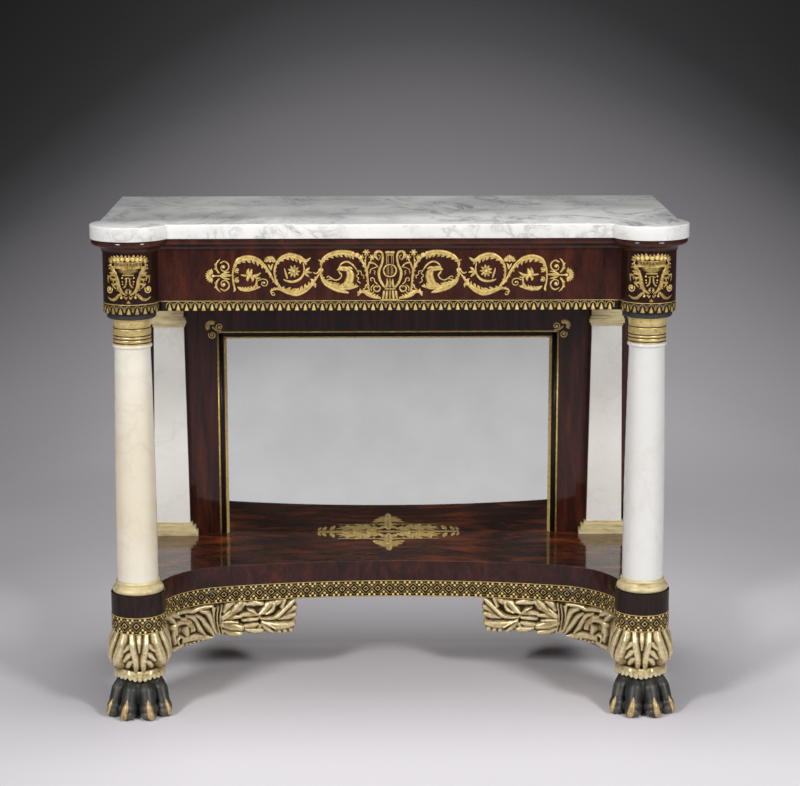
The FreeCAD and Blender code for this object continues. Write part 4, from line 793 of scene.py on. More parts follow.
# Mirror. A silvered plate in a rebate behind the frame, held by a screwed pine backboard,
# with thin gilt slips round its edge.
old_mirror = Finish("old_mirror", {"Metallic": 1.0})
haze = old_mirror.clouds(old_mirror.spot(), 0.12, 4, 0.5)
old_mirror.wear("Base Color", old_mirror.tones(haze, ((0.3, (0.60, 0.62, 0.60)), (0.7, (0.68, 0.70, 0.68)))))
old_mirror.wear("Roughness", old_mirror.tones(haze, ((0.3, 0.015), (0.7, 0.03))))
dress(old_mirror, "mirror_plate")
slip_gold = patchy("slip_gold", {"Metallic": 0.25, "Roughness": 0.34}, (1, 1, 1), (0.006, 5, 0.65), (
    (0.3, (0.42, 0.27, 0.08)), (0.5, (0.74, 0.54, 0.20)), (0.8, (0.88, 0.69, 0.31))), 0.0002)
dress(slip_gold, "mirror_fillet_left", "mirror_fillet_right", "mirror_fillet_top")
dress(bare_pine, "mirror_backboard")
dark_iron = Finish("dark_iron", {"Metallic": 0.85})
rust = dark_iron.clouds(dark_iron.spot(), 0.002, 5, 0.6)
dark_iron.wear("Base Color", dark_iron.tones(rust, ((0.35, (0.05, 0.045, 0.04)), (0.7, (0.14, 0.10, 0.075)))))
dark_iron.wear("Roughness", dark_iron.tones(rust, ((0.3, 0.4), (0.7, 0.7))))
dress(dark_iron, "backboard_screws")


# Lines round the mirror. A black line and a thin gold one are drawn on the frame outside the
# slips, and where they meet in each upper corner stand two gold volutes and a palmette.
SHELF_TOP = 232
LINE_X = 339
LINE_Z = 645
LINE_HALF = 1.6
BACK_Y = 231


def on_back(u, v, out):
    """The face of the back frame: across, height, and out."""
    return u, BACK_Y - out, v


def volute(relief, u, v, radius, first, way, width, height):
    """A ring that winds in once and a half to a bead. The angle where it starts is in degrees."""
    line = []
    for share in np.linspace(0, 1, 15):
        angle = math.radians(first + way * 520 * share)
        reach = radius * (1 - 0.72 * share)
        line.append((u + reach * math.cos(angle), v + reach * math.sin(angle)))
    relief.ridge(line, (width, width, 0.8 * width, 0.5 * width), height, steps=3)
    relief.bead(u, v, 0.3 * radius, height)


mirror_black = Relief(sink=0.3)
mirror_gold = Relief(sink=0.3)
for way in (-1, 1):
    mirror_black.strip(way * 329 - 0.5, way * 337 + 0.5, SHELF_TOP, LINE_Z - 1, 0.3)
    mirror_gold.strip(way * LINE_X - LINE_HALF, way * LINE_X + LINE_HALF, SHELF_TOP, LINE_Z + LINE_HALF, 0.9, 1.6)
    volute(mirror_gold, way * 335.5, LINE_Z + 10.5, 8.2, 90 + way * 150, way, 2.6, 1.3)
    volute(mirror_gold, way * 350, LINE_Z - 5.5, 7.6, 90 + way * 300, -way, 2.6, 1.3)
    mirror_gold.fan(way * 352, LINE_Z + 12, 13, 9, 90 - way * 125, 90 + way * 35, 1.1)
    mirror_gold.ridge(((way * 340, LINE_Z + 1), (way * 350, LINE_Z + 11)), (1.6, 3.4), 1.1)
mirror_black.strip(-338, 338, LINE_Z - 9, LINE_Z - 1, 0.3)
mirror_gold.strip(-LINE_X, LINE_X, LINE_Z - LINE_HALF, LINE_Z + LINE_HALF, 0.9)
mirror_black.lay("mirror_black_line", on_back, black_ground)
mirror_gold.lay("mirror_gold_line", on_back, leaf_gold)


# Shelf ornament. A half lozenge of gold leaves laid on the shelf against the mirror, which
# makes it whole: two runs of leaf scroll, small leaves at the ends and a pointed spray.
MIRROR_FACE = 238.5
LOZENGE_LEAVES = (
    ((117, 10), (110, 48), 11), ((133, 10), (127, 40), 9), ((142, 9), (138, 36), 7), ((1, 92), (33, 72), 20),
    ((1, 106), (29, 90), 18), ((1, 114), (20, 112), 12), ((1, 60), (22, 54), 16), ((3, 50), (18, 16), 14),
    ((18, 12), (30, 40), 14),
)
LOZENGE_SCROLL = ((22, 34), (40, 24), (58, 36), (76, 24), (100, 40))
LOZENGE_STEM = ((20, 58), (60, 56), (102, 56))


def on_shelf(u, v, out):
    """The top of the shelf: across, forward from the mirror, and up."""
    return u, MIRROR_FACE - v, SHELF_TOP + out


lozenge = Relief(sink=0.3)
lozenge.strip(-143, 143, 1, 6, 0.35)
for way in (-1, 1):
    for base, tip, width in LOZENGE_LEAVES:
        lozenge.petal((way * base[0], base[1]), (way * tip[0], tip[1]), width, 0.9)
    scroll = [(way * u, v) for u, v in LOZENGE_SCROLL]
    lozenge.ridge(scroll, (12, 16, 16, 14, 6), 1.0, 0.3)
    for side in (-1, 1):
        lozenge.teeth(scroll, (26, 32, 32, 30, 22), side * 9, 0.9)
    for u in (30, 48, 66, 84):
        lozenge.bead(way * u, 50, 3, 0.9, 8)
    lozenge.ridge([(way * u, v) for u, v in LOZENGE_STEM], (3, 4, 2), 0.8)
lozenge.petal((0, 100), (0, 149), 15, 1.0)
lozenge.petal((0, 14), (0, 96), 20, 1.1)
lozenge.bead(0, 98, 6, 1.2)
lozenge.lay("shelf_lozenge", on_shelf, leaf_gold, flip=True)


# Pilasters. Thin slips of white marble on the back frame behind the columns, between
# painted and gilt wooden bases and stepped capitals.
VEINS = ((1.3, 1.0, 0.022, 0.48), (0.5, 0.65, 0.03, 0.5), (0.24, 0.5, 0.045, 0.5))


def veined(name, ground, cloud, vein, vein_share, size):
    """Polished stone: soft clouds in the ground colour and a few thin branching veins."""
    stone = Finish(name, {"Specular IOR Level": 0.5})
    place = stone.spot((1, 0.7, 1.1), (0.3, 0.2, 0.7))
    drift = stone.clouds(place, size * 1.8, 4, 0.5, 0.5)
    colour = stone.tones(drift, ((0.34, cloud), (0.58, ground)))
    for scale, strength, thin, rare in VEINS:
        wander = stone.clouds(place, size * scale, 5, 0.55, 0.9)
        line = stone.sum(stone.sum(wander, 0.5, "SUBTRACT"), 0, "ABSOLUTE")
        line = stone.tones(line, ((0.0, 1.0), (thin, 0.25), (3 * thin, 0.0)))
        fade = stone.tones(stone.clouds(place, size * 2.0 * scale, 3), ((rare, 0.0), (rare + 0.12, 1.0)))
        line = stone.sum(stone.sum(line, fade, "MULTIPLY"), vein_share * strength, "MULTIPLY")
        colour = stone.mix(line, colour, vein)
    stone.wear("Base Color", colour)
    stone.wear("Roughness", stone.tones(drift, ((0.3, 0.13), (0.7, 0.2))))
    return stone


pilaster_marble = veined("pilaster_marble", (0.84, 0.82, 0.765), (0.78, 0.755, 0.69), (0.5, 0.47, 0.41), 0.3, 0.11)
dress(pilaster_marble, "pilaster_left", "pilaster_right")
pale_gilt = patchy("pale_gilt", {"Metallic": 0.25, "Roughness": 0.45}, (0.4, 1, 1.6), (0.012, 6, 0.62), (
    (0.28, (0.42, 0.33, 0.16)), (0.48, (0.70, 0.58, 0.32)), (0.78, (0.84, 0.73, 0.46))), 0.0003)
dress(pale_gilt, "pilaster_base_left", "pilaster_base_right", "pilaster_capital_left", "pilaster_capital_right")


# Columns. Turned shafts of pale stone, the left one creamier, on gilt base rings and under
# gilt capitals and black abacus rings. Iron pins run through them into the drums.
cream_stone = veined("cream_stone", (0.85, 0.81, 0.705), (0.78, 0.70, 0.535), (0.64, 0.52, 0.33), 0.3, 0.12)
white_stone = veined("white_stone", (0.775, 0.765, 0.735), (0.735, 0.72, 0.68), (0.6, 0.57, 0.5), 0.25, 0.12)
dress(cream_stone, "column_left")
dress(white_stone, "column_right")
turned_gilt = patchy("turned_gilt", {"Metallic": 0.45, "Roughness": 0.33}, (1, 1, 1.5), (0.008, 6, 0.65), (
    (0.26, (0.32, 0.215, 0.07)), (0.44, (0.64, 0.475, 0.18)), (0.76, (0.84, 0.67, 0.30))), 0.0003)
BASE_RINGS = (
    (232, 0), (232, 44.2), (233, 45.8), (235, 47.1), (237.5, 47.6), (240, 47), (242.4, 45.3), (244.4, 42.7),
    (245.8, 40.6), (246.8, 39.7), (248, 39.5), (248.6, 40), (249.6, 40.7), (251, 41), (252.4, 40.7), (253.4, 40),
    (254, 39), (255, 38.6), (255, 0),
)
MILLED_LOW, MILLED_HIGH, MILLED_STEP = 713.2, 725.2, 1.5
CAPITAL_RINGS = (
    (696, 0), (696, 33.4), (697.2, 34.4), (698.2, 34.4), (698.6, 33.2), (700, 33.2), (700.4, 34.4), (702.8, 34.7),
    (705.2, 34.4), (705.6, 33.2), (707, 33.2), (707.4, 34.4), (709.6, 34.6), (711.2, 34.4), (711.6, 33.2),
    (712.8, 33.2), *((MILLED_LOW + MILLED_STEP * k, 34.2) for k in range(9)), (725.6, 33.2), (726.8, 33.2),
    (727.2, 34.3), (734, 34.3), (735, 34.8), (737, 35.0), (739, 35.6), (741, 36.9), (742.6, 38.8), (744, 39.2),
    (744, 0),
)
GROOVE_SHADE_RINGS = ((698.3, 700.3), (705.3, 707.3), (711.3, 713.1), (725.3, 727.1))


def turned(name, sign, rings, turns, finish, replaced):
    """A piece turned round a column's axis from rings of height and radius, with fine milling on its band."""
    points = []
    for z, radius in rings:
        milled = MILLED_LOW < z < MILLED_HIGH
        for turn in range(turns):
            angle = 2 * math.pi * turn / turns
            wave = 96 * angle + 2.1 * round((z - MILLED_LOW) / MILLED_STEP)
            reach = radius + (0.55 * math.cos(wave) if milled else 0)
            points.append((sign * LEG_X + reach * math.sin(angle), LEG_Y - reach * math.cos(angle), z))
    return make_piece(name, points, wrap(len(rings), turns), finish, [replaced])


for hand, sign in SIDES:
    turned(f"turned_base_{hand}", sign, BASE_RINGS, 96, pale_gilt, f"column_base_{hand}")
    capital = turned(f"turned_capital_{hand}", sign, CAPITAL_RINGS, 288, turned_gilt, f"capital_{hand}")
    # The faces in the capital's grooves take the black stain: painted shade in the grooves.
    capital.data.materials.append(black_stain.material)
    for polygon in capital.data.polygons:
        height = 1000 * polygon.center.z
        polygon.material_index = int(any(low < height < high for low, high in GROOVE_SHADE_RINGS))
dress(black_stain, "abacus_left", "abacus_right")
dress(dark_iron, "column_pins")


# Turret drums and apron. Veneered drums over the columns with the apron's rails housed in
# them; the front rail carries a thin figured veneer, and the frame inside is pine.
apron_veneer = mahogany("apron_veneer", (1, 1, 0.22), (0, 0.25, 0), 0.035, 1.2, 0.6,
                        (0.024, 0.007, 0.005), (0.052, 0.0125, 0.007), (0.09, 0.021, 0.01))
# The drums take the apron's mahogany in darker tones: painted shade.
shaded_drum_veneer = mahogany("shaded_drum_veneer", (1, 1, 0.22), (0, 0.25, 0), 0.035, 1.2, 0.5,
                       (0.010, 0.004, 0.003), (0.024, 0.007, 0.005), (0.046, 0.012, 0.007))
dress(shaded_drum_veneer, "turret_drum_left", "turret_drum_right")
dress(apron_veneer, "apron_front_veneer", "apron_side_rail_left", "apron_side_rail_right")
dress(bare_pine, "apron_front_rail", "apron_back_rail", "apron_cross_brace", "apron_glue_blocks")


# Leaf band. A black painted band along the foot of the apron and round the drums, with gold
# leaves under arches and a gold line above.
APRON_FACE = -183
APRON_LOW = 755
LEAF_SPACING = 15.3
LEAF = ((0, 0.6), (0, 6), (0, 12.5))
ARCH = ((-6.8, 5), (-5.2, 12), (0, 15.6), (5.2, 12), (6.8, 5))


def on_apron(u, v, out):
    """The front of the apron: across, height, and out."""
    return u, APRON_FACE - out, v


def leaf_band(name, surface, first, last, shade):
    """A painted band from first to last with a row of leaves, its gold as bright as the shade says."""
    ground = Relief(sink=0.5)
    ground.strip(first, last, APRON_LOW, APRON_LOW + 18.5, 0.25)
    ground.lay(f"{name}_ground", surface, black_ground)
    gold = Relief(sink=0.3)
    gold.strip(first, last, APRON_LOW + 17.2, APRON_LOW + 18.4, 0.7)
    for k in range(math.ceil((first + 4) / LEAF_SPACING), math.floor((last - 4) / LEAF_SPACING) + 1):
        u = k * LEAF_SPACING
        gold.ridge([(u + across, APRON_LOW + up) for across, up in LEAF], (8.4, 5.6, 0.8), 0.9, 0.1, shade=shade,
                   rounded=False)
        if first + 7 < u < last - 7:
            gold.ridge([(u + across, APRON_LOW + up) for across, up in ARCH], (1.1, 1.1), 0.6, steps=3,
                       shade=0.7 * shade)
        between = u + LEAF_SPACING / 2
        if between < last - 2:
            gold.petal((between, APRON_LOW + 15), (between, APRON_LOW + 3), 2, 0.6, 0, 0.6 * shade)
    gold.lay(f"{name}_gold", surface, leaf_gold)


leaf_band("apron_band", on_apron, -416, 416, 1)
# The turrets' bands are dimmed to 0.6 as painted shade.
leaf_band("turret_band_left", on_drum(-1, BASE_RADIUS), -115, 80, 0.6)
leaf_band("turret_band_right", on_drum(1, BASE_RADIUS), -80, 115, 0.6)


# Frieze. Gold leaf scrollwork along the apron: a lyre on a gadrooned foot between flowering
# stems, then on each side a scroll with a beaked beast's head, two leaf scrolls and a palmette.
FRIEZE_RIBS = (
    (((321.7, 818.6), (306.5, 818.6)), (2.8, 3.3), 0),
    (((307.6, 818.6), (297.1, 819.1), (283, 820.1)), (2.3, 8, 1.9), 0),
    (((305.3, 820.1), (297.1, 824.1), (288.4, 825.8)), (1.9, 4.7, 1.4), 0),
    (((305.3, 817.2), (297.1, 813.9), (288.4, 812.4)), (1.9, 4.7, 1.4), 0),
    (((306.7, 822.9), (312.3, 830.5), (312.8, 840), (305.3, 849.5)), (2.3, 4.7, 4.2, 0.9), 4),
    (((305.8, 841.4), (298.2, 845.2), (291.2, 840.5), (290.3, 832.9), (295.9, 827.2), (302.5, 828.6),
     (304.3, 833.4), (301.5, 837.6), (297.8, 836.7)), (2.3, 3.1, 3.3, 3.1, 2.6, 2.1, 1.9, 1.6, 1.2), 0),
    (((306.7, 814.3), (312.3, 806.7), (312.8, 797.2), (304.8, 788.2)), (2.3, 4.7, 4.2, 0.9), -4),
    (((305.8, 795.8), (298.2, 792), (291.2, 796.8), (290.3, 804.4), (295.9, 810.1), (302.5, 808.6),
     (304.3, 803.9), (301.5, 799.6), (297.8, 800.6)), (2.3, 3.1, 3.3, 3.1, 2.6, 2.1, 1.9, 1.6, 1.2), 0),
    (((279, 792), (282.3, 806.3), (283.2, 820.5), (280.4, 834.8), (272.4, 846.7), (256, 851.4), (239.5, 847.6),
     (225.5, 836), (214.9, 819.3), (206.2, 805.1), (196.1, 797.2)),
     (4.2, 3.8, 3.3, 5.2, 10.3, 11.7, 10.3, 7, 4.7, 4.2, 3.3), -13),
    (((275.2, 798.7), (267.7, 793.9), (256, 793), (244.2, 795.8), (233, 798.7)), (3.3, 6.6, 7.5, 6.6, 2.8), 7),
    (((279.5, 796.8), (280.4, 792), (282.3, 789.6)), (6.1, 4.7, 1.4), 0),
    (((268.9, 820.1), (260.7, 819.1), (256, 819.1)), (2.3, 5.2, 3.3), 0),
    (((251.3, 815.8), (256, 824.1), (254.1, 832.4)), (7, 8, 1.9), 0),
    (((251.3, 815.8), (250.3, 825.3), (248.5, 831)), (6.1, 6.6, 1.9), 0),
    (((252.2, 818.2), (256.9, 812.9), (255.5, 808.2)), (5.6, 6.1, 1.9), 0),
    (((251.3, 818.2), (247.1, 812.9), (248.5, 807.7)), (5.6, 6.1, 1.9), 0),
    (((248.9, 819.1), (240.5, 819.1), (232.5, 824.3)), (2.8, 6.1, 1.9), 0),
    (((246.6, 818.2), (239.5, 814.3), (233, 815.3)), (2.8, 4.2, 1.4), 0),
    (((240.5, 816.3), (240, 808.6), (241.9, 799.6)), (1.9, 3.8, 5.2), 0),
    (((237.7, 809.6), (229.7, 812.9), (222.2, 810.5), (220.8, 803.9), (225.9, 800.1), (231.1, 802.9),
     (229.7, 807.2), (225.5, 806.3)), (2.1, 2.3, 2.3, 2.3, 2.1, 1.9, 1.6, 1.2), 0),
    (((272.4, 824.3), (278.1, 825.8), (278.1, 830.5), (273.4, 831.5), (272.4, 827.7)),
     (2.3, 2.6, 2.6, 2.3, 1.6), 0),
    (((272.4, 815.3), (278.1, 813.9), (278.1, 808.6), (273.4, 807.7), (272.4, 811.5)),
     (2.3, 2.6, 2.6, 2.3, 1.6), 0),
    (((197.3, 797.9), (205.3, 809.8), (208.1, 824.1), (205.7, 837.6), (196.8, 849.1), (180.8, 855.7),
     (164.4, 851.9), (152.2, 845.2), (142.3, 851.4)), (3.3, 4.2, 4.2, 4.7, 8.5, 11.3, 10.8, 7.5, 2.8), -11),
    (((214.2, 784.9), (215.1, 789.6), (210.9, 793.4), (199.6, 794.9), (185.5, 790.1), (169.1, 786.3),
     (152.7, 793), (140.9, 803.4), (131.5, 815.8), (124, 826.5)),
     (1.9, 2.8, 4.2, 6.6, 11.3, 12.2, 10.8, 7, 3.8, 2.8), 13),
    (((209, 788.2), (212.8, 788.2), (212.8, 783.9), (208.6, 783.4), (208.1, 786.8)),
     (1.9, 2.3, 2.3, 2.1, 1.4), 0),
    (((156, 841.9), (154.5, 830), (156.9, 819.1), (164.4, 811), (176.1, 807.7), (187.4, 809.6),
     (192.1, 812.4)), (2.3, 3.3, 4.2, 5.2, 5.2, 4.2, 1.4), 0),
    (((184.6, 812.9), (187.4, 821.7), (190.2, 831.9)), (2.8, 4.7, 1.9), 0),
    (((155.5, 824.8), (148.4, 830), (144.2, 833.4)), (2.3, 5.6, 1.9), 0),
    (((155.5, 824.3), (147.5, 824.8), (140.9, 823.9)), (2.3, 5.2, 1.9), 0),
    (((155.5, 823.4), (149.9, 820.1), (145.2, 815.8)), (2.3, 5.2, 1.9), 0),
    (((143.3, 800.1), (138.6, 808.6), (144.2, 812.9)), (7, 7, 1.9), 0),
    (((141.4, 802), (135.3, 802.5), (134.8, 796.3)), (7, 6.6, 1.9), 0),
    (((138.6, 824.8), (132.7, 822.4), (126.8, 827.7)), (1.9, 2.8, 2.3), 0),
    (((219.6, 840), (217, 835.7), (213.7, 828.6)), (1.9, 4.2, 2.3), 0),
    (((210.4, 840.5), (212.8, 836.2), (213.7, 828.6)), (1.9, 3.8, 2.3), 0),
    (((224, 831), (218.4, 827.7), (212.8, 818.2)), (1.9, 4.2, 2.3), 0),
    (((123.3, 832.9), (124, 841.9), (115.1, 852.4), (98.7, 859.5), (82.2, 860.9), (68.1, 858.1),
     (61.6, 853.3)), (3.3, 5.2, 8.9, 10.8, 10.8, 10.3, 5.2), -9),
    (((129.2, 847.6), (123.3, 844.8), (117.4, 847.2)), (1.4, 4.2, 3.8), 0),
    (((126.4, 832.4), (122.6, 828.6), (125, 822)), (4.7, 7, 4.2), 0),
    (((125.4, 826.5), (123.1, 815.8), (117.4, 805.8), (105.7, 799.1), (91.6, 793), (73.8, 786.8)),
     (3.3, 5.6, 8.5, 13.1, 12.7, 2.8), 9),
    (((91.6, 797.7), (73.8, 796.8), (56.4, 799.6)), (9.4, 10.3, 2.8), 6),
    (((82.2, 796.8), (73.8, 808.6), (71.4, 820.5), (76.6, 831)), (14.1, 17.4, 16.9, 9.4), 0),
    (((75.2, 830), (86.9, 831.5), (95.8, 828.6)), (11.3, 10.3, 3.3), 0),
    (((92.6, 826.7), (89.3, 822), (86.5, 821.5)), (2.3, 4.2, 3.8), 0),
    (((86.5, 820.1), (90.7, 812.9), (99.6, 810.5), (110.4, 817.2), (114.6, 814.3)),
     (2.3, 2.6, 2.6, 2.3, 1.4), 0),
    (((103.4, 812.9), (112.8, 811), (110.4, 805.8)), (2.1, 2.6, 1.4), 0),
    (((79.9, 831.5), (73.3, 833.4), (66.7, 830)), (3.3, 5.2, 1.9), 0),
    (((93, 829.6), (87.9, 839.5), (77.5, 843.8), (66.7, 837.6), (59.2, 827.7)), (2.3, 3.3, 3.8, 3.8, 1.9), 0),
    (((59.7, 827.2), (56.4, 822.4), (60.6, 818.2), (56.4, 813.4), (58.7, 809.6), (53.1, 804.4)),
     (1.6, 1.9, 1.9, 1.9, 1.9, 2.1), 0),
    (((58.7, 827.2), (52.2, 826.2), (51.2, 820.1), (47, 818.2), (47.5, 812.9)), (1.6, 1.9, 1.9, 1.9, 1.9), 0),
    (((37.6, 788.2), (39.5, 803.9), (40.9, 818.2), (42.3, 828.8), (48.4, 841.9), (59.2, 853.8)),
     (3.8, 4.2, 4.7, 5.6, 5.2, 3.3), 6),
    (((41.8, 827.7), (37.6, 839.5), (32.5, 848.6)), (3.8, 3.3, 1.9), 0),
    (((43.3, 832.4), (44.2, 844.3), (42.8, 856.2)), (2.8, 2.3, 1.9), 0),
    (((38.6, 803.9), (43.3, 800.1), (44.7, 794.4)), (2.8, 4.2, 1.4), 0),
    (((38.8, 842.1), (28.8, 840.8), (20.7, 833.2)), (3.8, 3.3, 2), 0),
    (((36.3, 821.7), (33.8, 830.1), (22.5, 834.7)), (1.8, 2, 1.5), 0),
    (((29.3, 828.1), (26.2, 825.2), (28.8, 823), (25.7, 819.8)), (1.3, 1.5, 1.5, 1.3), 0),
    (((22.5, 802.5), (27.5, 807.6), (28.8, 812.7), (33, 814.5), (35.1, 810.8), (32.3, 808.2)),
     (2.5, 2.3, 2, 1.9, 1.6, 1.3), 0),
    (((22.5, 801.3), (17.4, 796.2), (21.2, 789.8), (27.5, 791.1), (29.3, 796.2), (25, 799.5), (21.7, 796.2)),
     (2.3, 3, 3.3, 3, 2.8, 2.3, 1.5), 0),
    (((33, 789.8), (34.3, 796.2), (28.8, 802.5)), (2, 2.3, 1.3), 0),
    (((58.2, 781.4), (54, 788.2), (46.4, 789.5), (38.8, 783.4), (28.8, 779.8), (16.2, 777.5)),
     (3.8, 6.6, 7.8, 7.6, 7.1, 5), 8),
    (((38.8, 787.2), (32.5, 785.9), (28.8, 789.8)), (2, 3.5, 1.3), 0),
    (((8.6, 796.2), (15.2, 805.1), (19.2, 815.3), (19.9, 826.8), (14.6, 839.5), (12.9, 851), (14.6, 859.7),
     (20.4, 862.5), (25.7, 859.7), (25.7, 853.1), (20.4, 845.9)),
     (3.8, 5.5, 6, 5.8, 4.8, 4.8, 4.5, 5, 6.3, 5.5, 1.8), 0),
    (((21.2, 856.1), (17.7, 853.6), (18.7, 847.2)), (1.8, 2.3, 1), 0),
    (((0, 860.5), (8.6, 860.5)), (5.8, 5.8), 0), (((0, 855.9), (7.1, 855.9)), (2.3, 2.3), 0),
    (((0, 838.8), (7.3, 836.2), (11.6, 828.1), (7.8, 819.1), (0, 816.3)), (3, 3.3, 3.3, 3.3, 3), 0),
    (((3.3, 854.6), (3.3, 840.3)), (1.3, 1.3), 0), (((6.1, 854.6), (6.1, 839.3)), (1.3, 1.3), 0),
    (((2.3, 835.7), (2.3, 819.4)), (1.1, 1.1), 0), (((5.1, 834.2), (5.1, 820.7)), (1.1, 1.1), 0),
    (((0, 796.2), (0, 806.4), (0, 813.3)), (6.3, 5.5, 1.8), 0),
    (((7.1, 796.2), (4.8, 805.1), (5.3, 812.7)), (5.5, 5, 1.5), 0),
    (((0, 794.1), (9.9, 794.1)), (2.8, 2.8), 0), (((0, 791.6), (0, 775.7)), (5.5, 4.5), 0),
    (((5.3, 791.3), (6.6, 775.7)), (5, 4.5), 0), (((10.4, 790.8), (12.9, 775.7)), (5, 4.3), 0),
    (((0, 775), (18.2, 775)), (2.5, 2), 0),
)
FRIEZE_BEADS = (
    (299.4, 834.8, 3.1), (299.4, 802.9, 3.1), (275.2, 828.1, 2.1), (275.2, 811, 2.1), (252.5, 819.1, 3.3),
    (173.3, 826.5, 3.5), (59.7, 855.7, 4.7), (66.7, 859.5, 3.3), (42.3, 860.9, 3.1), (51.7, 851.9, 2.6),
    (32.5, 851.9, 2.6), (44.7, 845.7, 2.1), (77.5, 827.7, 1.4), (140.9, 803.9, 3.1), (126.4, 828.6, 2.8),
    (318.5, 818.6, 2.8), (215.6, 844.8, 2.3), (226.6, 805.8, 1.9),
)
FRIEZE_FANS = (
    (319.5, 818.6, 13.5, 9, 100, 260), (215.6, 843.8, 11.7, 9, 10, 170), (173.3, 826.5, 11.8, 9, 0, 320),
    (42.3, 860.9, 7, 6, 0, 300), (51.7, 851.9, 6.1, 6, 0, 300), (32.5, 851.9, 6.1, 6, 0, 300),
)
frieze = Relief(sink=0.4)
for way in (-1, 1):
    for line, widths, leaves in FRIEZE_RIBS:
        placed = [(way * u, v) for u, v in line]
        frieze.ridge(placed, [0.9 * width for width in widths], 1.5, 0.24, 4)
        if leaves:
            frieze.teeth(placed, [1.2 * width for width in widths], -way * leaves, 1.3)
    for u, v, radius in FRIEZE_BEADS:
        frieze.bead(way * u, v, radius, 1.5)
    for u, v, radius, count, first, last in FRIEZE_FANS:
        if way > 0:
            first, last = 180 - first, 180 - last
        frieze.fan(way * u, v, radius, count, first, last, 1.1)
frieze.lay("frieze_gold", on_apron, leaf_gold)


# Drum ornament. Gold leaf on the front of each turret: a bowl of fruit with a milled rim on
# a split stem, held between two scaled scroll creatures, with a hanging drop below.
# The drums' gold is dimmed to this share as painted shade.
DRUM_SHADE = 0.6
DRUM_RIBS = (
    (((0, 849), (27, 849)), (2.2, 2.2)), (((0, 841.6), (27, 841.8)), (2.2, 2.2)),
    (((0, 838.8), (30, 839.6)), (3.6, 2.6)), (((0, 826.6), (10.6, 826.8)), (3.4, 2.8)),
    (((0, 822), (6.6, 820.2)), (2.6, 2)),
    (((2.8, 820), (3.6, 811), (6.4, 806), (9.4, 804.4)), (3, 3.2, 3.6, 3.4)),
    (((1, 802), (5, 797), (1, 793)), (2, 2.4, 2)),
    (((23.5, 831), (21, 822), (19, 814.6), (18, 807), (15, 800), (10, 794.6), (3, 790.4)),
     (4, 7, 8, 8.6, 7.4, 4.4, 2.6)),
    (((21, 828), (27, 833), (33, 838), (40, 836.5)), (7, 7, 6, 2)),
    (((25, 834), (29, 840), (35, 843)), (4, 5, 2)), (((23, 828), (31, 829.6), (37, 830)), (4, 5.4, 2)),
    (((22, 819), (29, 818), (33, 821)), (4, 5, 2)), (((21, 811), (28, 809), (33, 811.6)), (4, 5, 2)),
    (((36, 824), (40, 822), (43, 825)), (2, 4, 1.6)),
    (((24, 824), (31, 826), (35, 822), (33, 815)), (2.6, 3.4, 3, 1.6)), (((27, 820), (28.6, 812)), (2.6, 2)),
    (((22.6, 801.6), (28, 806), (33, 810)), (2.4, 2.8, 2)),
    (((38, 826), (41, 818), (39, 811)), (1.6, 2.8, 1.4)),
    (((15, 793), (20.5, 787.4), (26, 782.6), (34.6, 781.6), (44, 786)), (4.4, 6, 6, 4, 1.6)),
    (((8, 789), (3, 783)), (3.2, 2.6)), (((13, 798), (13.6, 791), (10.6, 787)), (2.4, 2.8, 1.6)),
)
DRUM_LEAVES = (
    ((5, 853), (2.4, 863), 6), ((10, 854), (11, 863.6), 7), ((15.5, 853), (19.5, 863), 7),
    ((21, 852), (26.5, 862), 7), ((26, 851), (33, 860.6), 6.6), ((29, 850), (38, 857), 5.6),
    ((29, 848), (40, 851.6), 5), ((13, 852), (14, 860), 3.4), ((1, 779), (3.2, 775.6), 2.8),
    ((0.4, 781), (0.4, 775), 2.4), ((2, 788), (4, 784), 3),
)
DRUM_BEADS = (
    (17.4, 854, 4.6), (9.2, 855, 4.3), (0.5, 854.4, 4.2), (24.8, 853.4, 3.8), (12.8, 786, 2.3),
    (10.4, 822, 1.8), (10, 815, 1.5), (9.4, 810.6, 1.3), (2.4, 797, 1.3), (33, 845, 1.8), (36.6, 843, 1.5),
)
for hand, sign in SIDES:
    mount = Relief(sink=0.4)
    for way in (-1, 1):
        for line, widths in DRUM_RIBS:
            mount.ridge([(way * u, v) for u, v in line], widths, 1.4, 0.2, 4, DRUM_SHADE)
        for base, tip, width in DRUM_LEAVES:
            mount.petal((way * base[0], base[1]), (way * tip[0], tip[1]), 0.9 * width, 1.2, shade=DRUM_SHADE)
        for u in np.arange(1.3, 26, 2.6):
            mount.ridge(((way * u, 842.4), (way * u, 847.8)), (1.5, 1.5), 1.0, steps=1, shade=DRUM_SHADE)
        volute(mount, way * 37.8, 800, 7.4, 90 + way * 60, way, 2.4, 1.1)
        mount.fan(way * 37.8, 800, 4.2, 6, 0, 300, 1.0)
        mount.ridge(((0, 839), (0, 834), (0, 827.5)), (46, 40, 17), 1.8, shade=DRUM_SHADE, edge=(0.3, 0.8))
        for u, v, radius in DRUM_BEADS:
            mount.bead(way * u, v, radius, 1.5, 10)
        for k in range(9):
            turn = 0.35 * k
            mount.bead(way * (21.2 - 2.6 * math.sin(turn)), 826 - 3.3 * k, 1.1, 2.0, 6)
    mount.lay(f"drum_ornament_{hand}", on_drum(sign, BASE_RADIUS), leaf_gold)


# Cornice. A run moulding under the marble, straight on the front and sides and bent round
# the turrets, veneered and polished like the apron.
dress(apron_veneer, "cornice_front", "cornice_side_left", "cornice_side_right", "cornice_turret_left",
      "cornice_turret_right")


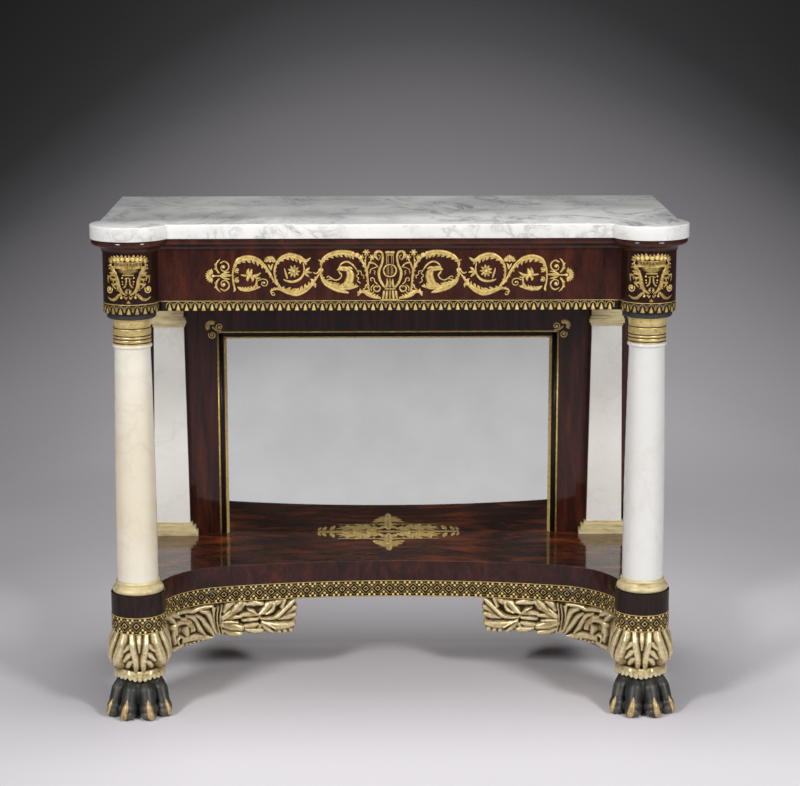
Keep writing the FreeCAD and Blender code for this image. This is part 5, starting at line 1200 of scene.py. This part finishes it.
# Marble top. A loose slab with a round ear over each column, its edges eased, the edges painted brighter as lit and
# the top painted darker as shaded. It lies on the frame by its own weight, so it rides on its own.
shaded_top_marble = veined("shaded_top_marble", (0.635, 0.635, 0.62), (0.52, 0.52, 0.515), (0.16, 0.165, 0.17), 0.75, 0.13)
lit_edge_marble = veined("lit_edge_marble", (0.86, 0.85, 0.82), (0.785, 0.775, 0.745), (0.26, 0.255, 0.24), 0.7, 0.1)
EAR_RADIUS = 72
EAR_STEPS = 64
SLAB_FRONT = -205
SLAB_BACK = 251
SLAB_SIDE = 525
SLAB_LOW = 888
SLAB_HIGH = 914
SLAB_RINGS = (
    (1.6, SLAB_LOW), (0.4, SLAB_LOW + 0.5), (0, SLAB_LOW + 1.6), (0, SLAB_HIGH - 2.2), (0.7, SLAB_HIGH - 0.7),
    (2.2, SLAB_HIGH),
)
ahead = LEG_Y - SLAB_FRONT
beside = SLAB_SIDE - LEG_X
start = math.atan2(-ahead, -math.sqrt(EAR_RADIUS ** 2 - ahead ** 2))
end = math.atan2(math.sqrt(EAR_RADIUS ** 2 - beside ** 2), beside)
outline = [(0, SLAB_FRONT), (200, SLAB_FRONT)]
for angle in np.linspace(start, end, EAR_STEPS + 1):
    outline.append((LEG_X + EAR_RADIUS * math.cos(angle), LEG_Y + EAR_RADIUS * math.sin(angle)))
outline += [(SLAB_SIDE, 60), (SLAB_SIDE, SLAB_BACK), (300, SLAB_BACK), (0, SLAB_BACK)]
outline += [(-x, y) for x, y in outline[-2:0:-1]]
count = len(outline)
loop = np.array(outline, float)
edge = np.roll(loop, -1, axis=0) - loop
edge /= np.linalg.norm(edge, axis=1)[:, None]
corner = np.stack((edge[:, 1], -edge[:, 0]), 1)
corner = corner + np.roll(corner, 1, axis=0)
corner /= np.linalg.norm(corner, axis=1)[:, None]
points = [(x - inset * out_x, y - inset * out_y, z)
          for inset, z in SLAB_RINGS for (x, y), (out_x, out_y) in zip(loop, corner)]
faces = [tuple(range(count))[::-1], tuple(range(len(points) - count, len(points)))] + wrap(len(SLAB_RINGS), count)
slab = make_piece("marble_slab", points, faces, shaded_top_marble, ["marble_top"], body="slab")
slab.data.set_sharp_from_angle(angle=math.radians(50))
slab.data.materials.append(lit_edge_marble.material)
# Faces that stand upright take the brighter edge stone: painted light on the edges, painted shade on the top.
for face in slab.data.polygons:
    face.material_index = int(abs(face.normal.z) < 0.9)


# Studio. A pale sweep of paper under and behind the table, painted darker away from it and on the left as shade,
# two soft lamps in front, one straight above and one behind it, a room that is dim in front, and the camera a
# little above the top.
CAMERA_SPOT = (-0.03968, -4.30242, 1.42189)
CAMERA_PITCH = math.radians(11.25)
CAMERA_YAW = math.radians(0.80)
CAMERA_ROLL = math.radians(-0.06)
CAMERA_LENS = 103.806
PAPER_TONE = (0.78, 0.755, 0.79)
PAPER_RADIUS = 1500
PAPER_STEPS = 12
LAMPS = (
    ("lamp_left", (-2.6, -3.4, 2.9), (0, 0, 0.4), 0.9, 115),
    ("lamp_right", (2.6, -3.4, 2.9), (0, 0, 0.4), 0.9, 115),
    ("lamp_above", (0, -0.1, 3.1), (0, -0.1, 0), 1.0, 34),
    ("lamp_behind", (0, 0.8, 1.7), (0, 2.2, 0), 0.8, 11),
)
paper = Finish("paper", {"Roughness": 0.9, "Specular IOR Level": 0.1})
sweep = []
for angle in np.linspace(0, math.pi / 2, PAPER_STEPS + 1):
    sweep.append((1400 + PAPER_RADIUS * math.sin(angle), PAPER_RADIUS - PAPER_RADIUS * math.cos(angle)))
sweep = [(-9000, 0), (-3000, 0), (0, 0)] + sweep + [(2900, 3200), (2900, 6000)]
points = [(x, y, z) for y, z in sweep for x in (-20000, 20000)]
faces = [(2 * k, 2 * k + 1, 2 * k + 3, 2 * k + 2) for k in range(len(sweep) - 1)]
mesh = bpy.data.meshes.new("paper_sweep")
mesh.from_pydata([(x / 1000, y / 1000, z / 1000) for x, y, z in points], [], faces)
mesh.polygons.foreach_set("use_smooth", [True] * len(mesh.polygons))
mesh.materials.append(paper.material)
backdrop = bpy.data.objects.new("paper_sweep", mesh)
bpy.context.scene.collection.objects.link(backdrop)
# The paper's colour is painted darker farther from the table, up the sweep and towards the sides: painted falloff
# of the lamps' light.
place = paper.layer("SeparateXYZ", {"Vector": paper.spot()})
aside = paper.sum(place.outputs["X"], 0.14, "SUBTRACT")
aside = paper.sum(paper.sum(paper.sum(aside, aside, "MULTIPLY"), 0.5, "MULTIPLY"), 1.0, "MINIMUM")
run = paper.sum(paper.sum(place.outputs["Y"], place.outputs["Z"]), aside)
fade = paper.tones(paper.sum(paper.sum(run, 3), 0.125, "MULTIPLY"), (
    (0.0, 0.7), (0.25, 0.92), (0.33, 0.95), (0.38, 0.92), (0.42, 0.84), (0.46, 0.72), (0.50, 0.62), (0.55, 0.57),
    (0.60, 0.585), (0.65, 0.545), (0.69, 0.455), (0.75, 0.352), (0.81, 0.235), (0.84, 0.178), (0.872, 0.094),
    (0.903, 0.046), (0.935, 0.034), (1.0, 0.021)))
# The left side is painted darker still: painted shade.
lean = paper.sum(paper.sum(place.outputs["X"], 2), 0.25, "MULTIPLY")
lean = paper.tones(lean, ((0.28, 0.86), (0.42, 1.0)))
paper.wear("Base Color", paper.mix(1.0, paper.mix(1.0, PAPER_TONE, fade, "MULTIPLY"), lean, "MULTIPLY"))
front_only = paper.layer("MixShader", {"Fac": paper.layer("NewGeometry", {}).outputs["Backfacing"]})
paper.tree.links.new(paper.shader.outputs["BSDF"], front_only.inputs[1])
paper.tree.links.new(paper.layer("BsdfTransparent", {}).outputs["BSDF"], front_only.inputs[2])
paper.tree.links.new(front_only.outputs["Shader"], paper.tree.nodes["Material Output"].inputs["Surface"])

for name, spot, aim, size, watts in LAMPS:
    lamp = bpy.data.lights.new(name, "AREA")
    lamp.size = size
    lamp.energy = watts
    holder = bpy.data.objects.new(name, lamp)
    holder.location = spot
    holder.rotation_euler = (Vector(aim) - Vector(spot)).to_track_quat("-Z", "Y").to_euler()
    bpy.context.scene.collection.objects.link(holder)

world = bpy.data.worlds.new("studio_air")
world.use_nodes = True
air = world.node_tree
way = air.nodes.new("ShaderNodeSeparateXYZ")
air.links.new(air.nodes.new("ShaderNodeTexCoord").outputs["Generated"], way.inputs["Vector"])
back = air.nodes.new("ShaderNodeMath")
back.operation = "MULTIPLY_ADD"
back.inputs[1].default_value = 0.5
back.inputs[2].default_value = 0.5
air.links.new(way.outputs["Y"], back.inputs[0])
rise = air.nodes.new("ShaderNodeMath")
air.links.new(back.outputs["Value"], rise.inputs[0])
air.links.new(way.outputs["Z"], rise.inputs[1])
room = air.nodes.new("ShaderNodeValToRGB")
room.color_ramp.elements[0].position = 0.28
room.color_ramp.elements[0].color = (0.04, 0.04, 0.04, 1)
room.color_ramp.elements[1].position = 0.5
room.color_ramp.elements[1].color = (0.35, 0.35, 0.36, 1)
air.links.new(rise.outputs["Value"], room.inputs["Fac"])
air.links.new(room.outputs["Color"], air.nodes["Background"].inputs["Color"])
air.nodes["Background"].inputs["Strength"].default_value = 0.55
bpy.context.scene.world = world

forward = Vector((math.sin(CAMERA_YAW) * math.cos(CAMERA_PITCH), math.cos(CAMERA_YAW) * math.cos(CAMERA_PITCH),
                  -math.sin(CAMERA_PITCH)))
right = Vector((math.cos(CAMERA_YAW), -math.sin(CAMERA_YAW), 0))
upward = right.cross(forward)
eye = bpy.data.cameras.new("camera")
eye.sensor_width = 36
eye.sensor_fit = "HORIZONTAL"
eye.lens = CAMERA_LENS
camera = bpy.data.objects.new("camera", eye)
facing = Matrix((right, upward, -forward)).transposed() @ Matrix.Rotation(CAMERA_ROLL, 3, "Z")
camera.matrix_world = Matrix.Translation(CAMERA_SPOT) @ facing.to_4x4()
bpy.context.scene.collection.objects.link(camera)
bpy.context.scene.camera = camera
bpy.context.scene.view_settings.view_transform = "Standard"

bpy.context.view_layer.update()
